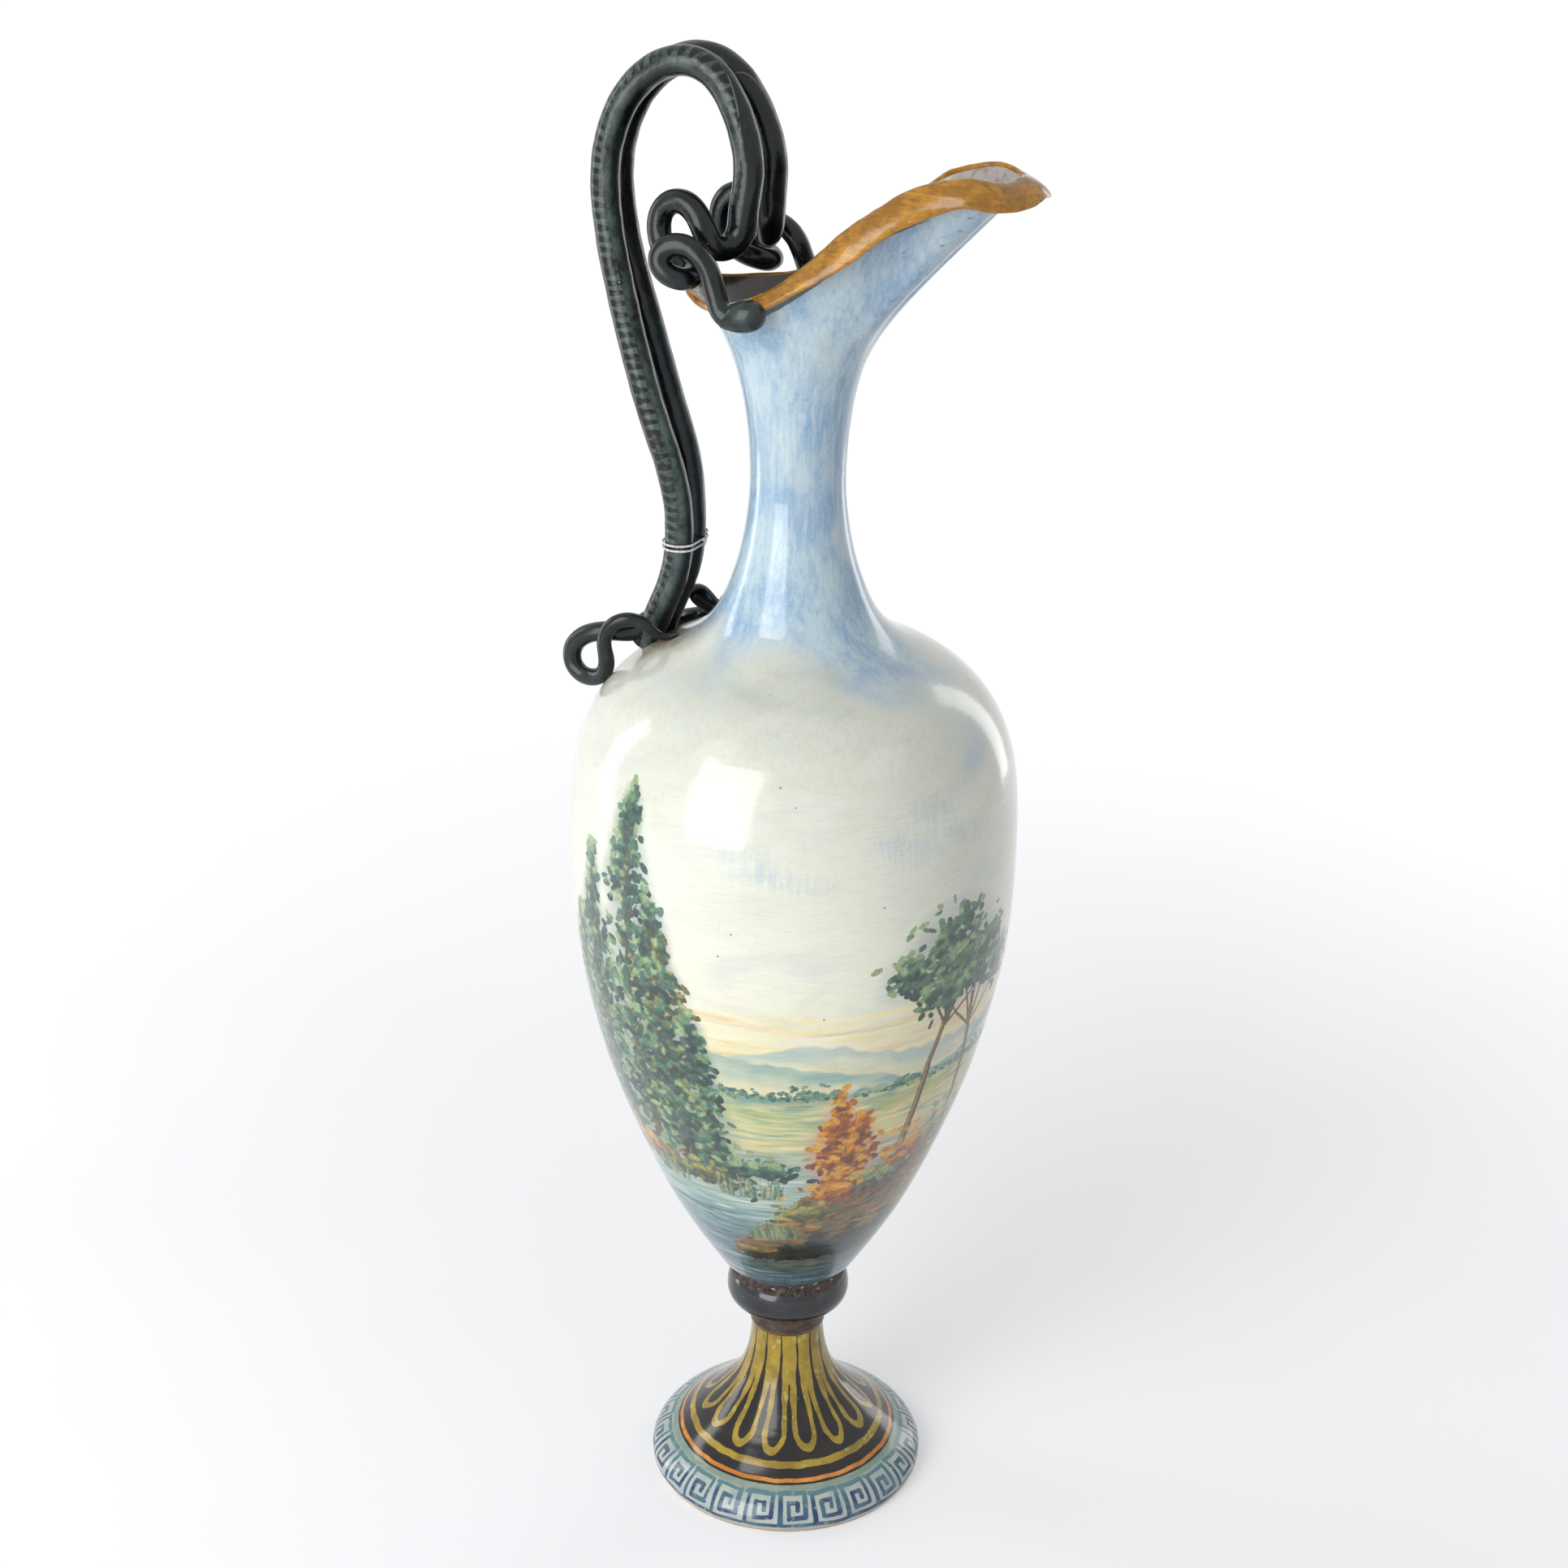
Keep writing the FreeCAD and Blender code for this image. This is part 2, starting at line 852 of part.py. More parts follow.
def thread_edges():
    level = handle_foot().z + arch_height() * thread_height_share
    reach = serpent_radius + thread_clearance + thread_radius
    span = 2 * serpent_radius + serpent_gap
    slope = thread_pitch / (2 * (span + 2 * reach))
    along = math.sqrt(1 - slope * slope)
    place = Vector(handle_x_at(level) + reach, span / 2, level)
    edges = []
    for turn in range(thread_turns):
        for side in (-1, 1):
            leaving = Vector(0, side * along, slope)
            across = Vector(side, 0, 0)
            returning = Vector(0, -side * along, slope)
            end = place + leaving * (span / along)
            edges.append(line(place, end))
            bend, place = quarter(end, leaving, across, reach)
            edges.append(bend)
            bend, place = quarter(place, across, returning, reach)
            edges.append(bend)
    return edges


def make_thread():
    edges = thread_edges()
    start = edges[0].Vertexes[0].Point
    leaving = edges[0].Vertexes[1].Point - start
    profile = Part.Wire([Part.makeCircle(thread_radius, start, leaving)])
    path = Part.Wire(edges)
    report_thread_gap(edges)
    return path.makePipeShell([profile], True, False)


def report_thread_gap(edges):
    # least gap of the strand to itself, between points a whole turn or so apart
    points = []
    for edge in edges:
        points.extend(edge.discretize(40)[:-1])
    turn = len(points) // thread_turns
    near = turn // 2
    least = min(
        points[index].distanceToPoint(other)
        for index in range(len(points))
        for other in points[index + near:]
    )
    print("least gap of the thread to itself", round(least - 2 * thread_radius, 2))


def handle_x_at(level):
    points = arch_points(1)[:8]
    for lower, upper in zip(points, points[1:]):
        if lower.z <= level <= upper.z:
            share = (level - lower.z) / (upper.z - lower.z)
            return mix(lower.x, upper.x, share)
    return points[0].x


# Tie rod, nuts, washers and gaskets

def ring(radius, bore, low, height):
    outer = Part.makeCylinder(radius, height, Vector(0, 0, low))
    return outer.cut(Part.makeCylinder(bore, height, Vector(0, 0, low)))


def clamp_levels():
    # faces that the two gaskets press on: underside of the foot's top, and the body's floor
    return foot_height - foot_top_thickness, body_level + body_floor_thickness


def stack(thickness, gap, shape_at):
    low_face, high_face = clamp_levels()
    below = shape_at(low_face - gap - thickness)
    above = shape_at(high_face + gap)
    return Part.Compound([below, above])


def make_gaskets():
    bore = rod_radius + rod_clearance
    return stack(gasket_thickness, 0, lambda low: ring(gasket_radius, bore, low, gasket_thickness))


def make_washers():
    bore = rod_radius + rod_clearance
    return stack(
        washer_thickness, gasket_thickness,
        lambda low: ring(washer_radius, bore, low, washer_thickness))


def make_nut(low):
    corner = nut_width / math.sqrt(3)
    corners = []
    for index in range(6):
        turn = index * math.pi / 3
        corners.append(Vector(corner * math.cos(turn), corner * math.sin(turn), low))
    face = Part.Face(Part.makePolygon(corners + corners[:1]))
    prism = face.extrude(Vector(0, 0, nut_height))
    bore = rod_radius + thread_fit
    return prism.cut(Part.makeCylinder(bore, nut_height, Vector(0, 0, low)))


def make_nuts():
    return stack(nut_height, gasket_thickness + washer_thickness, make_nut)


def make_rod():
    low_face, high_face = clamp_levels()
    end = gasket_thickness + washer_thickness + nut_height + rod_end_length
    length = high_face - low_face + 2 * end
    return Part.makeCylinder(rod_radius, length, Vector(0, 0, low_face - end))


def build():
    os.makedirs("parts", exist_ok=True)
    save("foot", make_foot())
    save("collar", make_collar())
    save("knop", make_knop())
    save("joint_filler", make_joint_filler())
    save("tie_rod", make_rod())
    save("tie_nuts", make_nuts())
    save("tie_washers", make_washers())
    save("tie_gaskets", make_gaskets())

    thrown = make_thrown_wall()
    blank = make_thrown_blank()
    save("belly", thrown.common(slab(body_level, belly_seam_level)))
    save("shoulder", thrown.common(slab(belly_seam_level, neck_level)))
    save("neck", thrown.common(slab(neck_level, mouth_level)))

    lip = make_lip()
    mouth = make_mouth_wall().cut(lip)
    save("mouth", mouth)
    save("rim_lip", lip)

    for side, label, tail_rows in ((-1, "near", near_tail_shares), (1, "far", far_tail_shares)):
        body = make_serpent_body(side).cut(blank)
        head = make_serpent_head(side).cut(lip).cut(mouth)
        coil = make_serpent_coil(side).cut(lip)
        tail = make_tail(side, tail_rows).cut(blank).cut(body)
        save("serpent_body_" + label, body)
        save("serpent_neck_coil_" + label, coil)
        save("serpent_head_" + label, head)
        save("serpent_tail_" + label, tail)
    save("thread_tie", make_thread())


build()
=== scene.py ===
import math

import bpy
import numpy as np
from mathutils import Matrix, Vector
from mathutils.bvhtree import BVHTree


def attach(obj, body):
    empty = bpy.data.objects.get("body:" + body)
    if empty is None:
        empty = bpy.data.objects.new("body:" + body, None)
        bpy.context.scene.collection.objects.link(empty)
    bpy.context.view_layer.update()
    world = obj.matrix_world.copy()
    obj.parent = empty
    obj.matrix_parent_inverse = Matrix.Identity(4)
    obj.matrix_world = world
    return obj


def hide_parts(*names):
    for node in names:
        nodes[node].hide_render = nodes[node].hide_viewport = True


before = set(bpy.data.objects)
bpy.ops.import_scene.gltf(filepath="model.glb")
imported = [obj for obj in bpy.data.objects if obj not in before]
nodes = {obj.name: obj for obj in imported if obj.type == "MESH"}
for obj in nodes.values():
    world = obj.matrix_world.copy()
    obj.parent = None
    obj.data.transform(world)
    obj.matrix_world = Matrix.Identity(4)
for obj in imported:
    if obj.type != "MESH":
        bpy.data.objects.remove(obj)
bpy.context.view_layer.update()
scene = bpy.context.scene
MM = 0.001
ROUND = 2 * math.pi
FRONT = math.radians(-68.3)  # direction of the side that the picture shows

# Heights of the ends and seams of the turned parts, and the radius of the rod's hole, in mm
FOOT_TOP, FILLER_LOW, BELLY_LOW = 92.0, 126.0, 134.0
WIDEST, NECK_LOW, MOUTH_LOW = 391.0, 519.0, 640.0
HOLE = 4.6
# How far, in mm, a mark's colour and its distance are kept beyond its edge, and the distance
# of a place that is far from every mark
FRINGE, REACH, NO_INK = 2.2, 2.4, 6.0
SOFT_EDGE = 0.8  # width of the edge of a mark, in mm
CREASE = math.radians(38)  # faces that meet at more than this are shaded apart


def linear(r, g, b):
    """An sRGB colour, 0 to 255, as linear values."""
    c = np.array([r, g, b], float) / 255
    return np.where(c <= 0.04045, c / 12.92, ((c + 0.055) / 1.055) ** 2.4)


# ---------------------------------------------------------------- meshes

def bvh(*names):
    verts, faces = [], []
    for name in names:
        mesh = nodes[name].data
        start = len(verts)
        verts += [v.co.copy() for v in mesh.vertices]
        faces += [tuple(start + k for k in p.vertices) for p in mesh.polygons]
    return BVHTree.FromPolygons(verts, faces)


def radii_at(tree, heights, inside=False):
    """Radius of a turned solid at each height in mm, from outside or from its axis."""
    way = Vector((math.cos(0.4), math.sin(0.4), 0))
    found = []
    for h in heights:
        start = Vector((0, 0, h * MM))
        hit = (tree.ray_cast(start, way) if inside else tree.ray_cast(start + way, -way))[0]
        found.append(math.hypot(hit.x, hit.y) / MM if hit else np.nan)
    return np.array(found)


def lengths(rows):
    """Length along a line of points up to each of them."""
    steps = np.linalg.norm(np.diff(rows, axis=0), axis=1)
    return np.concatenate([[0], np.cumsum(steps)])


class Outline:
    """Outside of a turned solid: radius, height and the length along it, in mm."""

    def __init__(self, tree, low, high, count):
        self.level = np.linspace(low, high, count)
        self.radius = radii_at(tree, np.clip(self.level, low + 0.02, high - 0.02))
        self.along = lengths(np.stack([self.radius, self.level], 1))

    def rows(self, low, high, step):
        ends = np.interp([low, high], self.level, self.along)
        count = int(math.ceil((ends[1] - ends[0]) / step)) + 1
        s = np.linspace(*ends, count)
        z = np.interp(s, self.along, self.level)
        z[0], z[-1] = low, high
        return np.interp(s, self.along, self.radius), z, s


def angles(count):
    return -math.pi + ROUND * np.arange(count) / count


def turned(r, z, count):
    """Rings of points for rows of radius and height. r may be one value a row or one a point."""
    t = angles(count)
    r = np.asarray(r, float)
    r = r[:, None] * np.ones(count) if r.ndim == 1 else r
    z = np.asarray(z, float)[:, None] * np.ones(count)
    return np.stack([r * np.cos(t), r * np.sin(t), z], -1)


def lined(field, rows, value):
    """A field of the outside, and one value for the rows of the inside."""
    return np.concatenate([field, np.broadcast_to(value, (rows, *field.shape[1:]))])


def ring_piece(name, rings, material, node, fields, closed=True):
    """A mesh of rings of points in mm, joined by quads, in a loop or with its two ends capped."""
    rings = np.asarray(rings, float)
    rows, count = rings.shape[:2]
    i = np.arange(rows if closed else rows - 1)[:, None]
    j = np.arange(count)[None, :]
    after, right = (i + 1) % rows, (j + 1) % count
    corners = np.stack(np.broadcast_arrays(
        i * count + j, i * count + right, after * count + right, after * count + j), -1).ravel()
    starts = np.arange(len(corners) // 4) * 4
    u, v = np.broadcast_arrays(j / count, i / rows)
    du, dv = 1 / count, 1 / rows
    uv = np.stack([u, v, u + du, v, u + du, v + dv, u, v + dv], -1).reshape(-1, 2)
    if not closed:
        starts = np.concatenate([starts, [len(corners), len(corners) + count]])
        corners = np.concatenate(
            [corners, np.arange(count)[::-1], (rows - 1) * count + np.arange(count)])
        disc = np.stack([np.cos(angles(count)), np.sin(angles(count))], -1) * 0.002
        uv = np.concatenate([uv, disc[::-1] + [0.003, 0.003], disc + [0.003, 0.997]])
    mesh = bpy.data.meshes.new(name)
    mesh.vertices.add(rows * count)
    mesh.vertices.foreach_set("co", (rings * MM).ravel())
    mesh.loops.add(len(corners))
    mesh.loops.foreach_set("vertex_index", corners.astype(np.int32))
    mesh.polygons.add(len(starts))
    mesh.polygons.foreach_set("loop_start", starts.astype(np.int32))
    mesh.update(calc_edges=True)
    layer = mesh.uv_layers.new(name="OFBake")
    layer.data.foreach_set("uv", uv.astype(np.float32).ravel())
    for key, values in fields.items():
        kind, part = "FLOAT", "value"
        if values.ndim == 3:
            kind, part = "FLOAT_COLOR", "color"
            values = np.concatenate([values, np.ones((rows, count, 1))], -1)
        field = mesh.attributes.new(key, kind, "POINT")
        field.data.foreach_set(part, values.astype(np.float32).ravel())
    mesh.polygons.foreach_set("use_smooth", np.ones(len(starts), bool))
    mesh.set_sharp_from_angle(angle=CREASE)
    mesh.materials.append(material)
    piece = bpy.data.objects.new(name, mesh)
    scene.collection.objects.link(piece)
    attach(piece, "root")
    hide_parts(node)


def waves(turn, along, seed, count=7, turns=(1, 9), length=(20, 140)):
    """Smooth noise about 0, one period or more round the axis and wavy along it."""
    dice = np.random.default_rng(seed)
    total = 0
    for _ in range(count):
        n = dice.integers(*turns)
        k = ROUND / dice.uniform(*length) * dice.choice([-1, 1])
        total = total + np.sin(n * turn + k * along + dice.uniform(0, 6.28))
    return total / math.sqrt(count)


# ---------------------------------------------------------------- shader helper

class Value:
    """An output of a shader node. Its sums, products and steps are nodes too."""

    def __init__(self, shade, socket):
        self.shade, self.socket = shade, socket

    def math(self, kind, other=0.0):
        return self.shade.node("Math", {0: self, 1: other}, operation=kind)

    def __add__(self, other):
        return self.math("ADD", other)

    def __sub__(self, other):
        return self.math("SUBTRACT", other)

    def __mul__(self, other):
        return self.math("MULTIPLY", other)

    def step(self, low, high):
        """0 at low and 1 at high, smooth between. low may be above high."""
        return self.shade.node("MapRange", {"Value": self, "From Min": low, "From Max": high},
                               interpolation_type="SMOOTHSTEP")


class Shade:
    """Nodes of a material or of the world. A tuple given as a colour is sRGB, 0 to 255."""

    def __init__(self, name, block=None):
        self.block = block or bpy.data.materials.new(name)
        self.block.use_nodes = True
        self.tree = self.block.node_tree
        self.place = None

    def node(self, kind, values=(), out=0, **settings):
        made = self.tree.nodes.new("ShaderNode" + kind)
        for key, value in settings.items():
            setattr(made, key, value)
        for key, value in dict(values).items():
            self.put(made.inputs[key], value)
        return Value(self, made.outputs[out])

    def put(self, socket, value):
        if isinstance(value, Value):
            self.tree.links.new(value.socket, socket)
        elif socket.type == "RGBA":
            socket.default_value = (*(linear(*value) if isinstance(value, tuple) else value), 1)
        else:
            socket.default_value = value

    def coords(self, stretch=(1, 1, 1)):
        self.place = self.place or self.node("TexCoord", out="Object")
        return self.node("Mapping", {"Vector": self.place, "Scale": stretch})

    def level(self):
        return self.node("SeparateXYZ", {"Vector": self.coords()}, "Z")

    def attr(self, name, out="Fac"):
        return self.node("Attribute", out=out, attribute_name=name)

    def noise(self, scale, detail=3, rough=0.6, stretch=(1, 1, 1)):
        return self.node("TexNoise", {"Vector": self.coords(stretch), "Scale": scale,
                                      "Detail": detail, "Roughness": rough}, "Fac")

    def cells(self, scale, out="Distance", stretch=(1, 1, 1), feature="F1"):
        return self.node("TexVoronoi", {"Vector": self.coords(stretch), "Scale": scale}, out,
                         feature=feature)

    def spots(self, scale, size, share, stretch=(1, 1, 1)):
        """Round specks in a share of the cells."""
        near = self.cells(scale, "Distance", stretch).step(*size)
        return near * self.cells(scale, "Color", stretch).step(*share)

    def mix(self, share, a, b, kind="MIX"):
        return self.node("Mix", {0: share, 6: a, 7: b}, 2, data_type="RGBA", blend_type=kind)

    def over(self, color, *layers):
        """A colour with others laid over it in turn, each by its share."""
        for share, top in layers:
            color = self.mix(share, color, top)
        return color

    def finish(self, color, rough, height=None, depth=0.0, strength=1.0, **rest):
        """The surface: colour, roughness, relief of a depth in metres, and plain settings."""
        if height:
            rest["Normal"] = self.node(
                "Bump", {"Height": height, "Distance": depth, "Strength": strength})
        for key, value in dict(rest, Base_Color=color, Roughness=rough).items():
            self.put(self.tree.nodes["Principled BSDF"].inputs[key.replace("_", " ")], value)
        return self.block


def brushed_blue(s, fine, upright, broad):
    """Blue laid with an upright brush over white: the same on the neck and on the mouth."""
    clouds = s.noise(48, 4, 0.62, (1, 1, 0.55))
    return s.over(s.mix(clouds.step(0.38, 0.64), (180, 202, 212), (140, 172, 200)),
                  (upright.step(0.48, 0.70) * 0.5, (204, 217, 220)),
                  (upright.step(0.46, 0.30) * 0.4, (118, 154, 192)),
                  (fine.step(0.55, 0.72) * 0.3, (212, 219, 215)),
                  (fine.step(0.44, 0.28) * 0.25, (104, 138, 170)),
                  (broad.step(0.48, 0.7) * 0.14, (206, 204, 188)))


def painted_glaze():
    """Tin glaze with brushwork: soft washes, crisp strokes over them, fine crackle and pinholes."""
    s = Shade("painted_glaze")
    fine, broad = s.noise(700), s.noise(26, 4)
    flat = s.noise(1, 3, 0.6, (90, 90, 900))
    upright = s.noise(1, 4, 0.62, (420, 420, 26))
    level = s.level()
    hair = s.mix(level.step(0.45, 0.48), flat, upright)
    wash = s.mix(hair.step(0.42, 0.7) * 0.10, s.attr("wash", "Color"), (246, 246, 238))
    wash = s.mix(hair.step(0.55, 0.28) * 0.08, wash, (140, 150, 144), "MULTIPLY")
    wash = s.mix(broad.step(0.45, 0.7) * 0.08, wash, (214, 206, 178))
    # the blue of the neck, with a dry edge and patches on the shoulder
    dry = s.attr("veil") + (upright - 0.5) * 0.8 + (fine - 0.5) * 0.5
    wash = s.mix(dry.step(0.16, 0.88), wash, brushed_blue(s, fine, upright, broad))
    ink = s.mix(fine.step(0.38, 0.66) * 0.28, s.attr("ink", "Color"), (190, 195, 170), "SOFT_LIGHT")
    ink = s.mix(fine.step(0.6, 0.3) * 0.45, ink, (95, 95, 85), "MULTIPLY")
    cover = (s.attr("ink_gap") + (fine - 0.5) * 1.3).step(0.22, -0.22)
    crack = s.cells(75, feature="DISTANCE_TO_EDGE").step(0.020, 0.005)
    crack = crack * broad.step(0.44, 0.62) * level.step(0.54, 0.51)
    pits = s.spots(120, (0.085, 0.045), (0.80, 0.83))
    color = s.over(wash, (cover * 0.93, ink), (crack * 0.07, (120, 105, 80)),
                   (pits * 0.75, (70, 52, 38)))
    height = hair * 0.25 + s.noise(60, 2, 0.55, (1, 1, 0.4)) - pits * 0.6 + cover * 0.25
    return s.finish(color, fine * 0.10 + 0.10 + pits * 0.4, height, 0.0002, 0.8,
                    Coat_Weight=0.25, Coat_Roughness=0.08)


# ---------------------------------------------------------------- points

# Guide points of the serpents' rolls in mm, from the shoulder to the head. The far roll mirrors
# the near one as far as the coil, and then has its own points.
near_roll = [
    (-81.8, -7.7, 493.1), (-79, -7.7, 499), (-74.5, -7.7, 509.8), (-67.5, -7.7, 524.5),
    (-63.1, -7.7, 538.6), (-61.5, -7.7, 553.3), (-61.9, -8.3, 572.4), (-65.7, -10.3, 592),
    (-70.2, -11.4, 604.9), (-78.5, -11.9, 629.9), (-85.7, -11.4, 654.5), (-94.1, -9.3, 685.4),
    (-98.8, -8.3, 706.5), (-101.2, -7.7, 727.6), (-99.6, -7.7, 749.1), (-91, -7.7, 770.5),
    (-76, -7.7, 786.3), (-58.6, -8.8, 792.5), (-43.5, -9.8, 788.7), (-32.5, -11.4, 777.5),
    (-23.5, -13.5, 758.7), (-20.3, -15, 740), (-23, -17.1, 725.3), (-23.4, -16.6, 717.2),
    (-24.9, -18.6, 710.6), (-28.5, -23.3, 706.4), (-33, -28.9, 707), (-35.6, -32.2, 712.6),
    (-38.5, -32.2, 720.4), (-44.4, -30.8, 727.2), (-51.7, -30, 729.3), (-58.3, -30, 726.2),
    (-61.8, -30, 719.4), (-61.2, -31, 711.8), (-57.9, -33, 705), (-52.3, -35.3, 700),
    (-45.3, -36.2, 697.4), (-39.8, -40.5, 695.8), (-39, -47, 695.2), (-43.8, -51.8, 696.3),
    (-50.1, -52.8, 700.1), (-52, -52.4, 706.5), (-47.4, -51.2, 711.8), (-40, -50.2, 712.6),
    (-32.8, -50, 709.2), (-27, -50, 702.2), (-24.2, -50.2, 694.3), (-22.2, -51, 687.4),
    (-19.8, -52.2, 681.8), (-16, -52.8, 679.9),
]
COIL_START = 22
far_roll = [(x, -y, z) for x, y, z in near_roll[:COIL_START + 1]] + [
    (-22.8, 16.6, 716.5), (-23.8, 18.6, 709.2), (-26.7, 23.3, 704.3), (-30.6, 28.9, 704.2),
    (-32.7, 32.2, 709), (-35, 32.2, 716.1), (-40.3, 30.8, 722.3), (-47, 30, 723.7),
    (-53.1, 30, 719.9), (-55.9, 30, 712.4), (-55.3, 31, 704.8), (-52.1, 33, 698),
    (-46.5, 35.3, 692.9), (-39.4, 36.2, 690.4), (-33.9, 40.5, 688.7), (-33.2, 47, 688.1),
    (-38, 51.8, 689.2), (-44.2, 52.8, 693.4), (-46.2, 52.4, 700.1), (-41.5, 51.2, 705.8),
    (-34.2, 50.2, 706.9), (-27, 50, 703.9), (-21.2, 50, 697.3), (-18.4, 50.2, 689.7),
    (-16.3, 51, 683.1), (-13.9, 52.2, 678), (-10.1, 52.8, 676.4),
]
roll_radii = [7.5] * 24 + [6.9, 6.3] + [
    6.26, 6.22, 6.17, 6.13, 6.09, 6.05, 6.01, 5.97, 5.92, 5.88, 5.84, 5.8,
    5.76, 5.72, 5.67, 5.63, 5.59, 5.55, 5.51, 5.47, 5.42, 5.38, 5.34, 5.3]
# The tails, from the shoulder to the tip, with the radius at each point
near_tail = [
    (-78.8, -7.7, 505.3, 6.4), (-83.1, -9.9, 502, 6.3), (-88.5, -12.8, 500.3, 5.9),
    (-94.9, -15.8, 500.6, 5.5), (-101.5, -17.8, 500.2, 5.3), (-109.4, -17.8, 498.2, 5.2),
    (-116.7, -17.8, 493.4, 5.1), (-120.2, -17.8, 486.2, 5), (-118.8, -18.1, 478.6, 4.9),
    (-112.8, -19.1, 473.9, 4.8), (-103.6, -20.7, 474.5, 4.7), (-96.4, -24, 481.4, 4.4),
    (-94.8, -27.1, 490.4, 4.2), (-96.1, -28.6, 497.6, 4), (-94.2, -28.6, 504.7, 4),
    (-89.3, -28.6, 510.1, 3.9), (-83.3, -27.6, 512.6, 3.7), (-77.7, -25.6, 511.9, 3.5),
    (-73.2, -23.7, 508.9, 3.2), (-70, -21.7, 505, 2.9), (-67, -19.7, 502.4, 2.5),
    (-63.1, -18.2, 502.4, 2), (-59, -16.9, 504.5, 1.5),
]
far_tail = [
    (-78.8, 7.7, 505.3, 6.4), (-81.2, 10.9, 501.2, 6.3), (-83.5, 17.6, 497.5, 5.9),
    (-84, 27, 494.3, 5.5), (-84.6, 37.5, 491.5, 5.2), (-80.5, 46.5, 490.3, 4.9),
    (-71.9, 49.9, 492.2, 4.7), (-64.4, 45, 497.1, 4.4), (-63.2, 37.1, 501.2, 4.2),
    (-67, 31.1, 506.1, 4), (-69.6, 27.4, 511, 3.7), (-67.4, 25.1, 514.7, 3.5),
    (-62.5, 24, 514.7, 3.2), (-58, 22.9, 511.3, 2.9), (-53.9, 21.8, 508.7, 2.5),
    (-49.8, 20.2, 509.5, 2), (-45.6, 18.4, 512.5, 1.5),
]


# ---------------------------------------------------------------- painting

class Canvas:
    """Colour fields on a turned surface. Places are an angle round the axis and a length up along
    the surface in mm; home is the place that a plant's marks are drawn from."""

    def __init__(self, outline, low, high, step, count):
        self.outline, self.count, self.home = outline, count, None
        self.r, self.z, self.s = outline.rows(low, high, step)
        self.turn = angles(count)
        shape = (len(self.r), count)
        self.wash = np.zeros(shape + (3,))
        self.ink = np.zeros(shape + (3,))
        self.gap = np.full(shape, NO_INK)
        self.veil = np.zeros(shape)
        self.step = ROUND / count

    def at(self, height):
        return np.interp(height, self.outline.level, self.outline.along)

    def radius(self, s):
        return np.interp(s, self.outline.along, self.outline.radius)

    def stand(self, degrees, height):
        self.home = FRONT + math.radians(degrees), self.at(height)

    def window(self, turn, s, reach):
        """The cells near a place, none if it is off the canvas, and their offsets from it in mm."""
        low, high = np.searchsorted(self.s, (s - reach, s + reach))
        half = reach / max(self.radius(s), 5)
        first = math.floor((turn - half + math.pi) / self.step)
        last = math.ceil((turn + half + math.pi) / self.step)
        cols = np.arange(first, last + 1)
        dx = (cols * self.step - math.pi - turn) * self.r[low:high, None]
        dy = (self.s[low:high] - s)[:, None] + 0 * dx
        return np.ix_(np.arange(low, high), cols % self.count), dx, dy

    def oval(self, turn, s, long, wide, tilt, reach):
        """The cells near a tilted oval, and how far out each lies: 1 on its edge."""
        place, dx, dy = self.window(turn, s, reach)
        c, k = math.cos(tilt), math.sin(tilt)
        return place, np.hypot((dx * c + dy * k) / long, (dy * c - dx * k) / wide)

    def lay(self, place, d, color, opacity=1.0):
        """Ink where the distance d is below 0, with its colour kept a little beyond its edge."""
        gap, ink = self.gap[place], self.ink[place]
        ink = np.where(((d < FRINGE) & (d < gap) & (gap > 0.3))[..., None], color, ink)
        cover = (np.clip(0.5 - d / SOFT_EDGE, 0, 1) * opacity)[..., None]
        self.ink[place] = ink * (1 - cover) + np.asarray(color) * cover
        self.gap[place] = np.minimum(gap, d)

    def dab(self, turn, s, long, wide, tilt, color, opacity=1.0):
        place, out = self.oval(turn, s, long, wide, tilt, long + REACH)
        self.lay(place, (out - 1) * wide, color, opacity)

    def stroke(self, points, radii, color):
        """A line of ink through points in mm right of home and up from it."""
        turn, s = self.home
        for (ax, ay), (bx, by), ra, rb in zip(points, points[1:], radii, radii[1:]):
            middle = s + (ay + by) / 2
            long = math.hypot(bx - ax, by - ay)
            place, dx, dy = self.window(turn + (ax + bx) / 2 / self.radius(middle), middle,
                                        long / 2 + max(ra, rb) + REACH)
            ux, uy = (bx - ax) / long, (by - ay) / long
            t = np.clip((dx * ux + dy * uy) / long + 0.5, 0, 1)
            off = np.hypot(dx - (t - 0.5) * long * ux, dy - (t - 0.5) * long * uy)
            self.lay(place, off - (ra + (rb - ra) * t), color)

    def brush(self, turn, s, long, wide, tilt, color, opacity):
        """A soft oval of colour, or of the neck's blue where the colour is None."""
        place, out = self.oval(turn, s, long, wide, tilt, long)
        share = np.clip(1.25 * (1 - out * out), 0, 1) * opacity
        if color is None:
            self.veil[place] = self.veil[place] * (1 - share) + share
        else:
            share = share[..., None]
            self.wash[place] = self.wash[place] * (1 - share) + np.asarray(color) * share


def reseed(seed):
    """Start the draws anew, for all that is painted on one canvas after another."""
    global rng
    rng = np.random.default_rng(seed)


def around():
    return rng.uniform(-3.14, 3.14)


def pick(colors):
    return np.clip(linear(*colors[rng.integers(len(colors))]) * rng.uniform(0.88, 1.12), 0, 1)


def sweep(c, count, heights, long, wide, tilt, colors, opacity):
    """Soft marks all round, between two heights. Of two palettes each mark takes either one."""
    for _ in range(count):
        z = rng.uniform(*heights)
        tones = colors[int(rng.random() >= 0.5)] if isinstance(colors, tuple) else colors
        c.brush(around(), c.at(z), rng.uniform(*long), rng.uniform(*wide), rng.normal(0.0, tilt),
                pick(tones), rng.uniform(*opacity))


